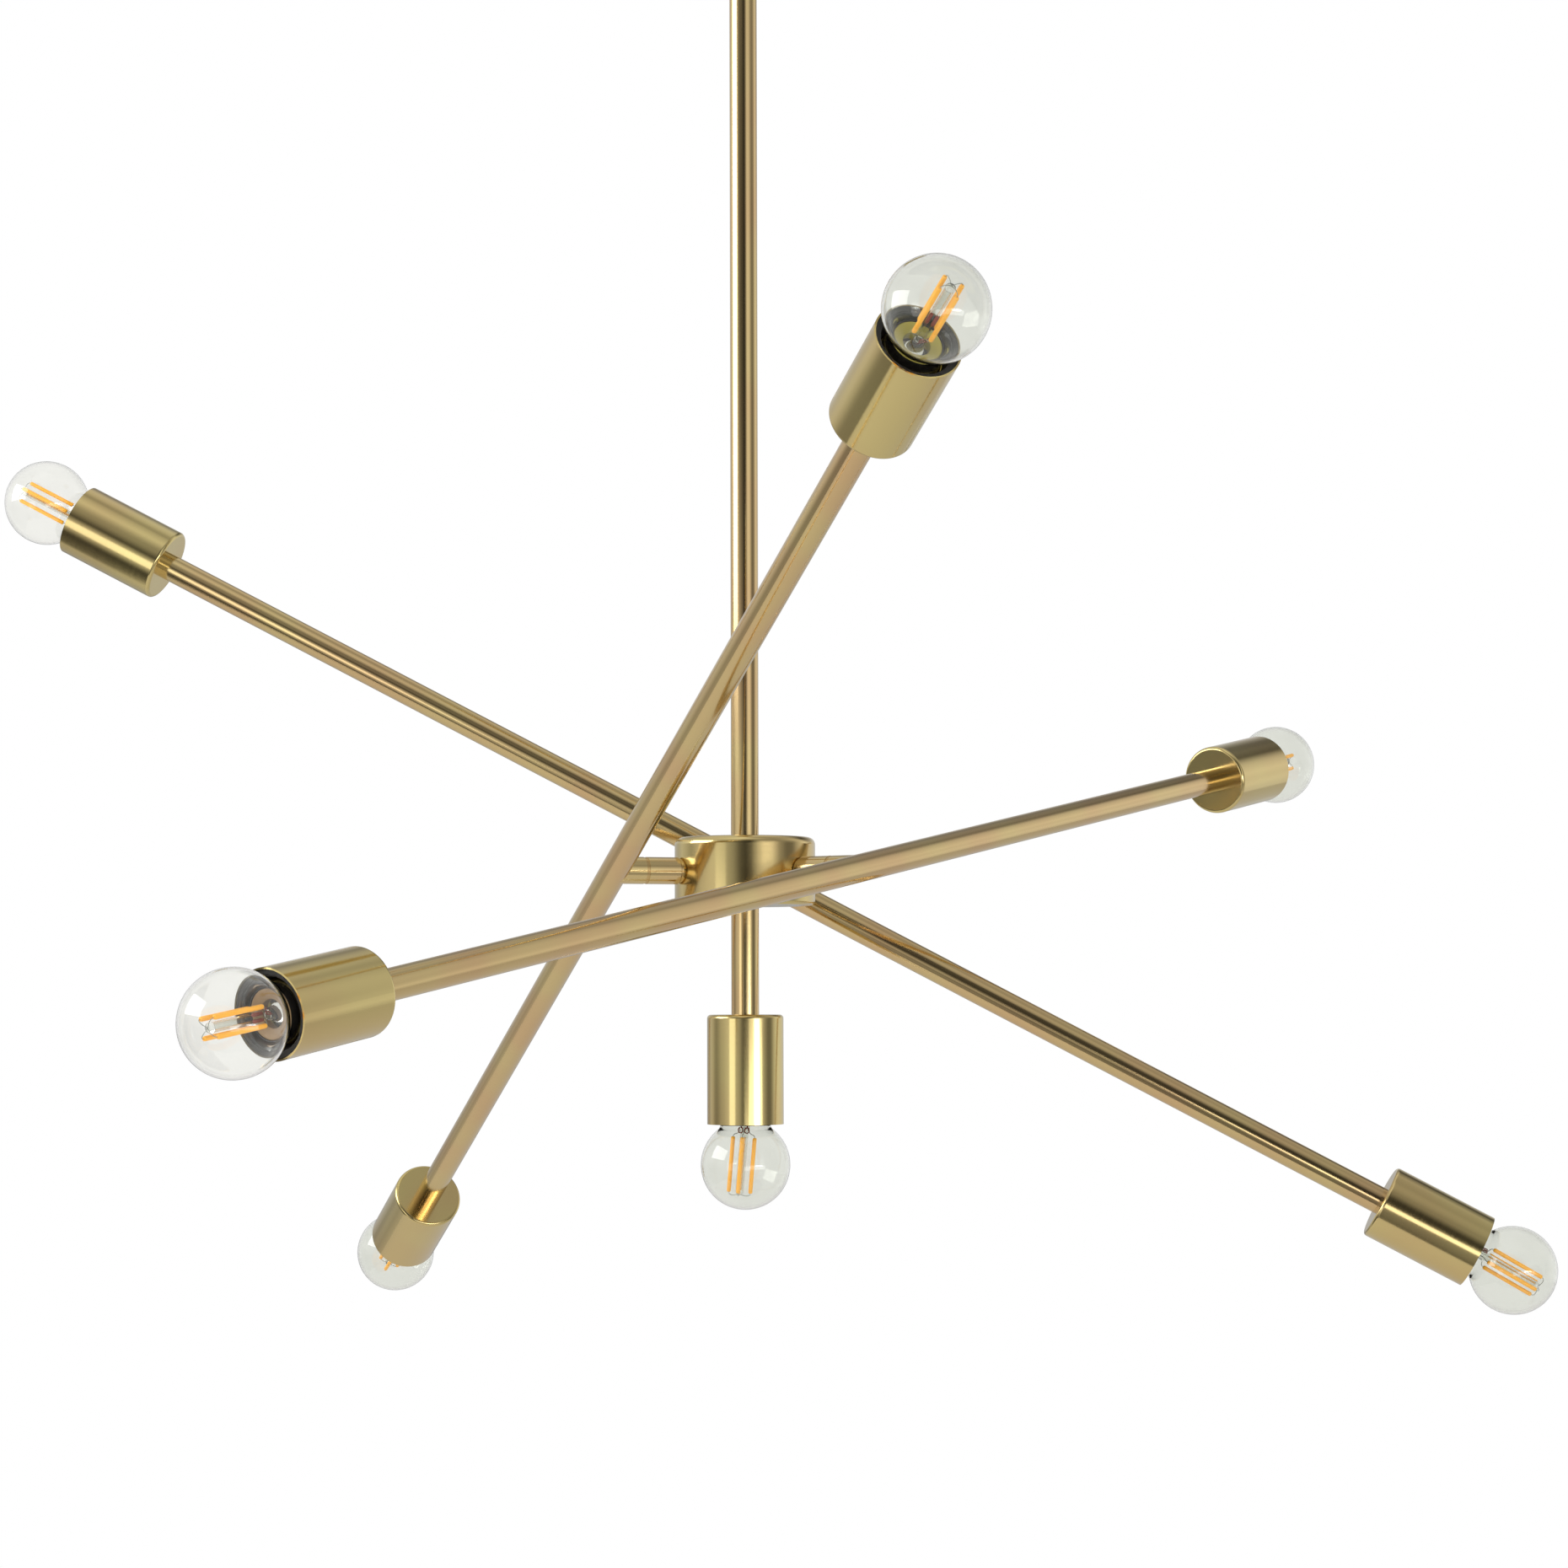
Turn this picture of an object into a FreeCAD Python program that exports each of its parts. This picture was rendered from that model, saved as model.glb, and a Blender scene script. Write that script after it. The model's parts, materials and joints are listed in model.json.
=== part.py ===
import FreeCAD, Part
import math
import os

# Sputnik chandelier: a ceiling canopy, a rigid stem, a round hub, three double-ended arms that
# swivel on spigots round the hub, and one fixed lamp under the hub. Seven filament bulbs.
# Millimetres, +Z up. The origin is the middle of the crossbar, on the ceiling plane.
# -Y is the side that the chandelier is seen from.

# Overall
DROP = 510.0               # ceiling down to the plane of the three swivel axes
RUN_GAP = 0.05             # radial gap of a piece that turns on another
SLIP_GAP = 0.1             # radial gap of pieces that slip together and stay
SEAT_GAP = 0.3             # gap round a moulded piece in its spun metal cup
HOLE_GAP = 0.15            # radial gap of a threaded spigot in a plain hole
LEAD_GAP = 0.7             # radial gap of a lead in its hole

# M10 lamp thread, fine pitch, with its nuts
THREAD_DIA = 9.9
THREAD_BORE = 6.2          # wire way through the hub's nipples
NUT_FLATS = 14.0
NUT_HEIGHT = 3.0
THREAD_PROUD = 1.0         # thread that shows past the nut above the crossbar

# Stem and lower stem: drawn brass tube with brazed end bushings
TUBE_DIA = 14.0
TUBE_WALL = 1.2
BUSHING_LENGTH = 12.0
LOWER_STEM_LENGTH = 54.9

# Hub: a turned shell, open below, with a cover plate let into it
HUB_DIA = 71.0
HUB_HEIGHT = 34.5
HUB_WALL = 1.5
HUB_TOP_ROUND = 3.8
HUB_BOTTOM_ROUND = 2.4
COVER_DIA = 59.0
COVER_THICK = 1.5
LEDGE_WIDTH = 1.6
LEDGE_THICK = 1.2

# Swivels
SPIGOT_ANGLE = {"left": 202.0, "right": 323.1, "rear": 83.5}   # degrees round the hub from +X
SPIGOT_DIA = 13.6
SPIGOT_START = 36.4        # hub axis to the bevelled end of the spigot's full width
SPIGOT_BEVEL = 0.4
SPIGOT_NECK_DIA = 12.0     # short neck that stands on the hub and shows as a dark line
SPIGOT_END = 53.3          # hub axis to the spigot's shoulder
SHANK_END = 27.5           # hub axis to the inner end of the spigot's threaded shank
SPIGOT_BORE = 5.5
JOURNAL_DIA = 9.0
JOURNAL_END = 62.0         # hub axis to the end of the journal
WASHER_DIA = 13.2
WASHER_THICK = 1.65
SLEEVE_WEB = 3.6           # thickness of the sleeve's bored end wall
SLEEVE_COUNTERBORE = 11.6
GROOVE_DIA = 8.0
RING_DIA = 11.0
RING_THICK = 0.8
RING_MOUTH = 3.0           # width of the retaining ring's opening

# Arms
ARM_OFFSET = 70.0          # hub axis to the arm tube's axis
ARM_HALF = 361.5           # swivel axis to the back of each lamp cup
ARM_RISE = {"left": 29.3, "right": 9.6, "rear": 27.8}   # degrees above level, at rest
ARM_SPIGOT_LENGTH = 8.5    # threaded end that the lamp cup and holder fit on
WIRE_HOLE_DIA = 9.0

# Lamp cup: spun brass
CUP_DIA = 38.5
CUP_LENGTH = 55.0
CUP_WALL = 0.8
CUP_ROUND = 1.8

# Lampholder: moulded, for a 26 mm screw cap
BOSS_DIA = 24.0
BOSS_HEIGHT = 8.5
SKIRT_START = 13.5         # cup back to where the holder reaches its full width
CHAMBER_DIA = 21.0
CHAMBER_HEIGHT = 11.5
FLOOR_THICK = 3.0
FACE_RECESS = 0.8          # holder's face behind the cup's rim
FACE_STEP_DIA = 32.8
FACE_STEP_DEPTH = 1.5
FUNNEL_DIA = 30.8
FUNNEL_DEPTH = 4.6
WELL_DIA = 28.3
SHELL_WALL = 0.4
SHELL_LENGTH = 20.0
SHELL_LIFT = 2.0           # screw shell above the well's floor
CONTACT_DIA = 9.0
CONTACT_HEIGHT = 1.9
CONTACT_RIVET_DIA = 5.0
CONTACT_RIM = 0.6          # height of the contact's edge; the middle is domed
CONTACT_TAIL = 1.5         # thickness of its head inside the chamber

# Bulb: 45 mm globe with a 26 mm screw cap
BULB_CENTRE = 20.4         # cup's rim to the centre of the globe
GLOBE_DIA = 45.0
GLOBE_WALL = 0.9
NECK_DIA = 25.4
NECK_SEAT_DIA = 24.4
NECK_SEAT_LENGTH = 5.6
CAP_DIA = 26.0
CAP_LENGTH = 24.0
CAP_CONE_LENGTH = 5.0
CAP_TIP_DIA = 7.0
CAP_TIP_BEVEL = 1.0
CAP_TIP_LENGTH = 1.2
STEM_GLASS_DIA = 6.4
STEM_GLASS_FOOT_DIA = 11.0
STEM_GLASS_HEIGHT = 15.5
EXHAUST_DIA = 1.2
FILAMENT_LENGTH = 28.0
FILAMENT_DIA = 2.1
FILAMENT_CIRCLE = 11.0
FILAMENT_COUNT = 4
TAB_WIDTH = 0.8
TAB_THICK = 0.3
SPIDER_SEAT = 4.0          # length of the spider's centre rod inside the glass stem

# Leads: thin twin flex inside the tubes, and the flex from the ceiling
LEAD_DIA = 2.4
LEAD_BEND = 7.0
SUPPLY_DIA = 4.6
CONNECTOR_SIZE = (14.0, 12.0, 8.0)
CONNECTOR_START = 9.0      # hub axis to the connector's inner end
CONNECTOR_ROUND = 1.0
LINK_OVERLAP = 0.5         # length of the connector's link inside the nipple's bore

# Ceiling mount
CANOPY_DIA = 120.0
CANOPY_HEIGHT = 28.0
CANOPY_WALL = 1.0
CANOPY_ROUND = 7.0
BAR_LENGTH = 104.0
BAR_WIDTH = 18.0
BAR_THICK = 2.0
BAR_PLATE_HALF = 36.5      # half length of the bar's dropped middle
BAR_DROP = 10.0            # ceiling down to the top of the bar's middle
BAR_SLOPE = 3.0            # length of each sloped step
SLOT_SPACING = 88.9
SLOT_WIDTH = 4.6
SLOT_LENGTH = 8.0
STUD_SPACING = 60.0
STUD_DIA = 4.0
STUD_HOLE_GAP = 0.2
STUD_PROUD = 1.0           # stud above the crossbar's dropped middle
STUD_TIP_GAP = 1.0         # stud's lower end to the bottom of the domed nut's bore
CAP_NUT_DIA = 9.0
CAP_NUT_HEIGHT = 7.0
CAP_NUT_DEPTH = 5.0

X = FreeCAD.Vector(1, 0, 0)
Y = FreeCAD.Vector(0, 1, 0)
Z = FreeCAD.Vector(0, 0, 1)

# Sizes worked out from the driving ones
thread_r = THREAD_DIA / 2
plain_hole_r = thread_r + HOLE_GAP
tube_r = TUBE_DIA / 2
hub_r = HUB_DIA / 2
hub_top = HUB_HEIGHT / 2
spigot_r = SPIGOT_DIA / 2
lead_r = LEAD_DIA / 2
cup_r = CUP_DIA / 2
bore_inside_r = tube_r - TUBE_WALL
sleeve_start = SPIGOT_END + WASHER_THICK + RUN_GAP
ring_start = sleeve_start + SLEEVE_WEB + 3 * RUN_GAP


def vec(x, y, z):
    """A point or direction."""
    return FreeCAD.Vector(x, y, z)


def rod(radius, length, start=0.0, axis=Z):
    """A cylinder along an axis, from a distance along it."""
    return Part.makeCylinder(radius, length, axis * start, axis)


def tube(outer_r, inner_r, length, start=0.0, axis=Z):
    """A cylinder with a bore."""
    return rod(outer_r, length, start, axis).cut(rod(inner_r, length, start, axis))


def corner(before, point, after, radius):
    """Start, middle and end of the arc that rounds one corner of an outline."""
    to_before = (before - point).normalize()
    to_after = (after - point).normalize()
    half = to_before.getAngle(to_after) / 2
    reach = radius / math.tan(half)
    middle = point + (to_before + to_after).normalize() * (radius / math.sin(half) - radius)
    return point + to_before * reach, middle, point + to_after * reach


def outline(points, rounds=None):
    """A closed wire in the XZ plane through (radius, height) points, some of them rounded."""
    rounds = rounds or {}
    places = [vec(r, 0, z) for r, z in points]
    edges = []
    first = last = None
    for index, place in enumerate(places):
        start = end = place
        arc = None
        if index in rounds:
            following = places[(index + 1) % len(places)]
            start, middle, end = corner(places[index - 1], place, following, rounds[index])
            arc = Part.Arc(start, middle, end).toShape()
        if last is None:
            first = start
        else:
            edges.append(Part.makeLine(last, start))
        if arc:
            edges.append(arc)
        last = end
    edges.append(Part.makeLine(last, first))
    return Part.Wire(edges)


def turned(points, rounds=None):
    """A solid of revolution about Z from (radius, height) points."""
    face = Part.Face(outline(points, rounds))
    return face.revolve(vec(0, 0, 0), Z, 360)


def lead(points, radius, bend):
    """A round lead along a route of straight runs joined by tangent arcs."""
    edges = []
    last = points[0]
    for before, point, after in zip(points, points[1:], points[2:]):
        start, middle, end = corner(before, point, after, bend)
        edges.append(Part.makeLine(last, start))
        edges.append(Part.Arc(start, middle, end).toShape())
        last = end
    edges.append(Part.makeLine(last, points[-1]))
    section = Part.Wire(Part.makeCircle(radius, points[0], points[1] - points[0]))
    return Part.Wire(edges).makePipeShell([section], True, False)


def hexagon_nut(start, axis):
    """A lamp thread nut on an axis."""
    corner_r = NUT_FLATS / 2 / math.cos(math.radians(30))
    ring = [vec(corner_r * math.cos(math.radians(60 * k)), corner_r * math.sin(math.radians(60 * k)), 0)
            for k in range(6)]
    blank = Part.Face(Part.makePolygon(ring + ring[:1])).extrude(Z * NUT_HEIGHT)
    nut = blank.cut(rod(thread_r + RUN_GAP, NUT_HEIGHT))
    nut.Placement = FreeCAD.Placement(axis * start, FreeCAD.Rotation(Z, axis))
    return nut


def placed(shapes, placement):
    """Copies of the shapes, moved as one."""
    moved = []
    for shape in shapes:
        copy = shape.copy()
        copy.Placement = placement.multiply(copy.Placement)
        moved.append(copy)
    return moved


# One lamp. Its own frame: +Z out of the arm's end, zero at the cup's back.
holder_r = cup_r - CUP_WALL - SEAT_GAP
face_level = CUP_LENGTH - FACE_RECESS
well_floor = CUP_WALL + BOSS_HEIGHT + CHAMBER_HEIGHT + FLOOR_THICK
cap_tip = well_floor + CONTACT_HEIGHT + SLIP_GAP
cap_rim = cap_tip + CAP_LENGTH
neck_foot = cap_rim - NECK_SEAT_LENGTH + SLIP_GAP
globe_centre = CUP_LENGTH + BULB_CENTRE


def lamp_cup():
    inner_r = cup_r - CUP_WALL
    points = [(plain_hole_r, 0), (cup_r, 0), (cup_r, CUP_LENGTH), (inner_r, CUP_LENGTH),
              (inner_r, CUP_WALL), (plain_hole_r, CUP_WALL)]
    return turned(points, {1: CUP_ROUND, 4: CUP_ROUND - CUP_WALL})


def lampholder():
    well_r = WELL_DIA / 2
    boss_top = CUP_WALL + BOSS_HEIGHT
    chamber_top = boss_top + CHAMBER_HEIGHT
    step_level = face_level - FACE_STEP_DEPTH
    rivet_r = CONTACT_RIVET_DIA / 2 + SLIP_GAP
    points = [(thread_r + RUN_GAP, CUP_WALL), (BOSS_DIA / 2, CUP_WALL), (BOSS_DIA / 2, boss_top),
              (holder_r, SKIRT_START), (holder_r, face_level), (FACE_STEP_DIA / 2, face_level),
              (FACE_STEP_DIA / 2, step_level), (FUNNEL_DIA / 2, step_level),
              (well_r, step_level - FUNNEL_DEPTH), (well_r, well_floor), (rivet_r, well_floor),
              (rivet_r, chamber_top), (CHAMBER_DIA / 2, chamber_top), (CHAMBER_DIA / 2, boss_top),
              (thread_r + RUN_GAP, boss_top)]
    return turned(points)


def holder_contacts():
    """The screw shell that lines the holder's well, and the centre contact on its floor."""
    shell_r = WELL_DIA / 2 - SLIP_GAP
    shell = tube(shell_r, shell_r - SHELL_WALL, SHELL_LENGTH, well_floor + SHELL_LIFT)
    floor_back = well_floor - FLOOR_THICK
    rivet_r = CONTACT_RIVET_DIA / 2
    contact_r = CONTACT_DIA / 2
    tail_low = floor_back - CONTACT_TAIL
    contact = turned([(0, tail_low), (contact_r, tail_low), (contact_r, floor_back),
                      (rivet_r, floor_back), (rivet_r, well_floor), (contact_r, well_floor),
                      (contact_r, well_floor + CONTACT_RIM), (rivet_r, well_floor + CONTACT_HEIGHT),
                      (0, well_floor + CONTACT_HEIGHT)])
    return [shell, contact]


def bulb_cap():
    seat_r = NECK_SEAT_DIA / 2 + SLIP_GAP
    tip_r = CAP_TIP_DIA / 2
    return turned([(0, cap_tip), (tip_r, cap_tip), (tip_r + CAP_TIP_BEVEL, cap_tip + CAP_TIP_LENGTH),
                   (CAP_DIA / 2, cap_tip + CAP_CONE_LENGTH), (CAP_DIA / 2, cap_rim), (seat_r, cap_rim),
                   (seat_r, cap_rim - NECK_SEAT_LENGTH), (0, cap_rim - NECK_SEAT_LENGTH)])


def globe():
    """The glass envelope with its stem, one piece as when it is sealed."""
    outer_r = GLOBE_DIA / 2
    inner_r = outer_r - GLOBE_WALL
    neck_r = NECK_DIA / 2
    neck_inner_r = NECK_SEAT_DIA / 2 - GLOBE_WALL
    centre = vec(0, 0, globe_centre)
    outside = Part.makeSphere(outer_r, centre).fuse(rod(neck_r, globe_centre - cap_rim, cap_rim))
    outside = outside.fuse(rod(NECK_SEAT_DIA / 2, globe_centre - neck_foot, neck_foot))
    flare_top = neck_foot + GLOBE_WALL
    inside = Part.makeSphere(inner_r, centre).fuse(rod(neck_inner_r, globe_centre - flare_top, flare_top))
    foot = Part.makeCone(STEM_GLASS_FOOT_DIA / 2, STEM_GLASS_DIA / 2, STEM_GLASS_HEIGHT / 2,
                         Z * neck_foot)
    stem = foot.fuse(rod(STEM_GLASS_DIA / 2, STEM_GLASS_HEIGHT, neck_foot))
    glass = outside.cut(inside).fuse(stem).cut(rod(EXHAUST_DIA / 2, STEM_GLASS_HEIGHT, neck_foot))
    return glass.removeSplitter()


def filament_set():
    """Four upright filaments with flat end tabs, on a spider with a centre rod and four feet."""
    low = globe_centre - FILAMENT_LENGTH / 2
    high = globe_centre + FILAMENT_LENGTH / 2
    glass_top = neck_foot + STEM_GLASS_HEIGHT
    rod_low = glass_top - SPIDER_SEAT
    rod_r = EXHAUST_DIA / 2 - SLIP_GAP
    reach = FILAMENT_CIRCLE / 2
    foot_at = STEM_GLASS_DIA / 2 - TAB_WIDTH
    parts = [rod(rod_r, high + TAB_THICK - rod_low, rod_low)]
    for index in range(FILAMENT_COUNT):
        angle = 360.0 / FILAMENT_COUNT * index
        top = Part.makeBox(reach, TAB_WIDTH, TAB_THICK, vec(0, -TAB_WIDTH / 2, high))
        filament = rod(FILAMENT_DIA / 2, FILAMENT_LENGTH, low).translate(X * reach)
        bottom = Part.makeBox(reach - foot_at, TAB_WIDTH, TAB_THICK,
                              vec(foot_at, -TAB_WIDTH / 2, low - TAB_THICK))
        foot = Part.makeBox(TAB_THICK, TAB_WIDTH, low - TAB_THICK - glass_top,
                            vec(foot_at, -TAB_WIDTH / 2, glass_top))
        branch = top.fuse([filament, bottom, foot])
        parts.append(branch.rotate(vec(0, 0, 0), Z, angle))
    return parts[0].fuse(parts[1:]).removeSplitter()


# Hub pieces that repeat at each swivel. Their frame: +X along the swivel axis, zero at the hub.
def swivel_spigot():
    """Threaded shank, coped neck against the hub, bevelled body, shoulder, and grooved journal."""
    neck = rod(SPIGOT_NECK_DIA / 2, SPIGOT_END, 0, X).cut(rod(hub_r, SPIGOT_DIA * 2, -SPIGOT_DIA))
    bevel_end = SPIGOT_START + SPIGOT_BEVEL
    bevel = Part.makeCone(spigot_r - SPIGOT_BEVEL, spigot_r, SPIGOT_BEVEL, X * SPIGOT_START, X)
    body = bevel.fuse([rod(spigot_r, SPIGOT_END - bevel_end, bevel_end, X), neck])
    shank = rod(thread_r, SPIGOT_START - SHANK_END, SHANK_END, X)
    journal_r = JOURNAL_DIA / 2
    journal = rod(journal_r, JOURNAL_END - SPIGOT_END, SPIGOT_END, X)
    groove_width = RING_THICK + SLIP_GAP
    groove = tube(spigot_r, GROOVE_DIA / 2, groove_width, ring_start - SLIP_GAP / 2, X)
    solid = body.fuse([shank, journal]).cut(groove)
    return solid.cut(rod(SPIGOT_BORE / 2, JOURNAL_END, 0, X)).removeSplitter()


def friction_washer():
    return tube(WASHER_DIA / 2, JOURNAL_DIA / 2 + RUN_GAP, WASHER_THICK, SPIGOT_END, X)


def retaining_ring():
    ring = tube(RING_DIA / 2, GROOVE_DIA / 2 + RUN_GAP, RING_THICK, ring_start, X)
    mouth = Part.makeBox(RING_THICK, RING_MOUTH, RING_DIA, vec(ring_start, -RING_MOUTH / 2, 0))
    return ring.cut(mouth)


def spigot_nut():
    """It seats on the hub's round inner wall by its corners."""
    corner_r = NUT_FLATS / 2 / math.cos(math.radians(30))
    seat = math.sqrt((hub_r - HUB_WALL) ** 2 - corner_r ** 2)
    return hexagon_nut(seat - NUT_HEIGHT, X)


def connector():
    length, width, height = CONNECTOR_SIZE
    block = Part.makeBox(length, width, height, vec(CONNECTOR_START, -width / 2, -height / 2))
    long_edges = [edge for edge in block.Edges if edge.Length > (length + width) / 2]
    return block.makeFillet(CONNECTOR_ROUND, long_edges)


def spigot_leads():
    """Two leads through the spigot's bore, and the link from the connector to the nipple."""
    connector_end = CONNECTOR_START + CONNECTOR_SIZE[0]
    side = lead_r + RUN_GAP
    through = rod(lead_r, JOURNAL_END - connector_end, connector_end, X)
    link_end = THREAD_BORE / 2 - LINK_OVERLAP
    link = rod(lead_r, CONNECTOR_START - link_end, link_end, X)
    return [through.copy().translate(Y * side), through.translate(Y * -side), link]


# One arm. Its frame: +X along the swivel axis from the hub, +Y along the arm to its upper lamp.
def swivel_sleeve():
    """Bored end wall that turns on the journal, coped and brazed to the arm tube."""
    blank = rod(spigot_r, ARM_OFFSET - sleeve_start, sleeve_start, X)
    bore = rod(JOURNAL_DIA / 2 + RUN_GAP, SLEEVE_WEB, sleeve_start, X)
    web_end = sleeve_start + SLEEVE_WEB
    counterbore = rod(SLEEVE_COUNTERBORE / 2, ARM_OFFSET - web_end, web_end, X)
    arm_envelope = rod(tube_r, TUBE_DIA * 2, -TUBE_DIA, Y).translate(X * ARM_OFFSET)
    return blank.cut([bore, counterbore, arm_envelope])


def arm_tube():
    """Tube with its brazed end bushings, each with a threaded spigot for a lamp."""
    blank = rod(tube_r, 2 * ARM_HALF, -ARM_HALF, Y)
    spigots = rod(thread_r, 2 * (ARM_HALF + ARM_SPIGOT_LENGTH), -ARM_HALF - ARM_SPIGOT_LENGTH, Y)
    clear = ARM_HALF - BUSHING_LENGTH
    inside = rod(bore_inside_r, 2 * clear, -clear, Y)
    wire_way = rod(lead_r + LEAD_GAP, 2 * ARM_HALF + 4 * ARM_SPIGOT_LENGTH,
                   -ARM_HALF - 2 * ARM_SPIGOT_LENGTH, Y)
    side_hole = rod(WIRE_HOLE_DIA / 2, tube_r, -tube_r, X)
    solid = blank.fuse(spigots).cut([inside, wire_way, side_hole])
    return solid.translate(X * ARM_OFFSET)


def arm_leads():
    """One twin lead to each lamp, from the swivel's mouth to the lampholder's chamber."""
    start = JOURNAL_END + 2 * SEAT_GAP
    side = lead_r + RUN_GAP
    end = ARM_HALF + CUP_WALL + BOSS_HEIGHT + CHAMBER_HEIGHT / 3
    leads = []
    for way in (1, -1):
        route = [vec(start, way * side, 0), vec(ARM_OFFSET, way * side, 0), vec(ARM_OFFSET, way * end, 0)]
        leads.append(lead(route, lead_r, LEAD_BEND))
    return leads


# Fixture pieces, in the hub's frame: zero at the middle of the hub.
def hub_shell():
    """Side wall and top in one, with a ledge below for the cover. Three holes for the spigots."""
    inside_r = hub_r - HUB_WALL
    cover_r = COVER_DIA / 2 + SLIP_GAP
    ledge_low = -hub_top + COVER_THICK
    ledge_high = ledge_low + LEDGE_THICK
    points = [(plain_hole_r, hub_top), (hub_r, hub_top), (hub_r, -hub_top), (cover_r, -hub_top),
              (cover_r, ledge_low), (cover_r - LEDGE_WIDTH, ledge_low), (cover_r - LEDGE_WIDTH, ledge_high),
              (inside_r, ledge_high), (inside_r, hub_top - HUB_WALL), (plain_hole_r, hub_top - HUB_WALL)]
    shell = turned(points, {1: HUB_TOP_ROUND, 2: HUB_BOTTOM_ROUND, 8: HUB_TOP_ROUND - HUB_WALL})
    holes = [rod(plain_hole_r, hub_r, hub_r / 2, X).rotate(vec(0, 0, 0), Z, azimuth)
             for azimuth in SPIGOT_ANGLE.values()]
    return shell.cut(holes)


def hub_cover():
    return tube(COVER_DIA / 2, plain_hole_r, COVER_THICK, -hub_top)


def hub_nipple():
    """Hollow threaded rod through the hub, with a window to each connector."""
    length = HUB_HEIGHT + 2 * BUSHING_LENGTH
    nipple = tube(thread_r, THREAD_BORE / 2, length, -length / 2)
    windows = [rod(lead_r + LEAD_GAP, thread_r * 2, 0, X).rotate(vec(0, 0, 0), Z, azimuth)
               for azimuth in SPIGOT_ANGLE.values()]
    return nipple.cut(windows)


def bushed_tube(length, start):
    """Tube with a threaded bushing brazed into each end."""
    clear = length - 2 * BUSHING_LENGTH
    solid = tube(tube_r, thread_r + RUN_GAP, length, start)
    return solid.cut(rod(bore_inside_r, clear, start + BUSHING_LENGTH))


def lower_stem():
    """Tube with a bushing above for the nipple, and a threaded spigot below for the lamp."""
    low = -hub_top - LOWER_STEM_LENGTH
    blank = rod(tube_r, LOWER_STEM_LENGTH, low).fuse(
        rod(thread_r, ARM_SPIGOT_LENGTH, low - ARM_SPIGOT_LENGTH))
    socket = rod(thread_r + RUN_GAP, BUSHING_LENGTH, -hub_top - BUSHING_LENGTH)
    clear = LOWER_STEM_LENGTH - 2 * BUSHING_LENGTH
    inside = rod(bore_inside_r, clear, low + BUSHING_LENGTH)
    wire_way = rod(lead_r + LEAD_GAP, LOWER_STEM_LENGTH, low - ARM_SPIGOT_LENGTH)
    return blank.cut([socket, inside, wire_way])


# Ceiling pieces, in the part's frame: zero on the ceiling.
def crossbar():
    """Strap with a dropped middle, a centre hole for the nipple and a slot in each foot."""
    half = BAR_LENGTH / 2
    knee = BAR_PLATE_HALF + BAR_SLOPE
    low = -BAR_DROP
    top = [(-half, 0), (-knee, 0), (-BAR_PLATE_HALF, low), (BAR_PLATE_HALF, low), (knee, 0), (half, 0)]
    under = [(x, z - BAR_THICK) for x, z in reversed(top)]
    ring = [vec(x, -BAR_WIDTH / 2, z) for x, z in top + under]
    strap = Part.Face(Part.makePolygon(ring + ring[:1])).extrude(Y * BAR_WIDTH)
    holes = [rod(plain_hole_r, BAR_DROP * 2, -BAR_DROP * 2)]
    slot_r = SLOT_WIDTH / 2
    straight = SLOT_LENGTH - SLOT_WIDTH
    for side in (-1, 1):
        slot = Part.makeBox(straight, SLOT_WIDTH, BAR_THICK, vec(-straight / 2, -slot_r, -BAR_THICK))
        for end in (-1, 1):
            slot = slot.fuse(rod(slot_r, BAR_THICK, -BAR_THICK).translate(X * (end * straight / 2)))
        holes.append(slot.translate(X * (side * SLOT_SPACING / 2)))
        stud_hole = rod(STUD_DIA / 2 + RUN_GAP, BAR_THICK, low - BAR_THICK)
        holes.append(stud_hole.translate(X * (side * STUD_SPACING / 2)))
    return strap.cut(holes)


def canopy():
    """Spun dish, open to the ceiling."""
    rim_r = CANOPY_DIA / 2
    inner_r = rim_r - CANOPY_WALL
    floor = -CANOPY_HEIGHT
    points = [(plain_hole_r, floor), (rim_r, floor), (rim_r, 0), (inner_r, 0),
              (inner_r, floor + CANOPY_WALL), (plain_hole_r, floor + CANOPY_WALL)]
    dish = turned(points, {1: CANOPY_ROUND, 4: CANOPY_ROUND - CANOPY_WALL})
    hole = rod(STUD_DIA / 2 + STUD_HOLE_GAP, CANOPY_WALL * 3, floor - CANOPY_WALL)
    return dish.cut([hole.copy().translate(X * (side * STUD_SPACING / 2)) for side in (-1, 1)])


def canopy_studs():
    """Two threaded studs from the crossbar down through the canopy."""
    top = -BAR_DROP + STUD_PROUD
    bottom = -CANOPY_HEIGHT - CAP_NUT_DEPTH + STUD_TIP_GAP
    stud = rod(STUD_DIA / 2, top - bottom, bottom)
    return [stud.copy().translate(X * (side * STUD_SPACING / 2)) for side in (-1, 1)]


def canopy_cap_nuts():
    """Two domed nuts that hold the canopy up."""
    cap_r = CAP_NUT_DIA / 2
    top = -CANOPY_HEIGHT
    points = [(0, top - CAP_NUT_DEPTH), (STUD_DIA / 2 + RUN_GAP, top - CAP_NUT_DEPTH),
              (STUD_DIA / 2 + RUN_GAP, top), (cap_r, top), (cap_r, top - CAP_NUT_HEIGHT),
              (0, top - CAP_NUT_HEIGHT)]
    nut = turned(points, {4: CAP_NUT_HEIGHT / 3})
    return [nut.copy().translate(X * (side * STUD_SPACING / 2)) for side in (-1, 1)]


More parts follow.
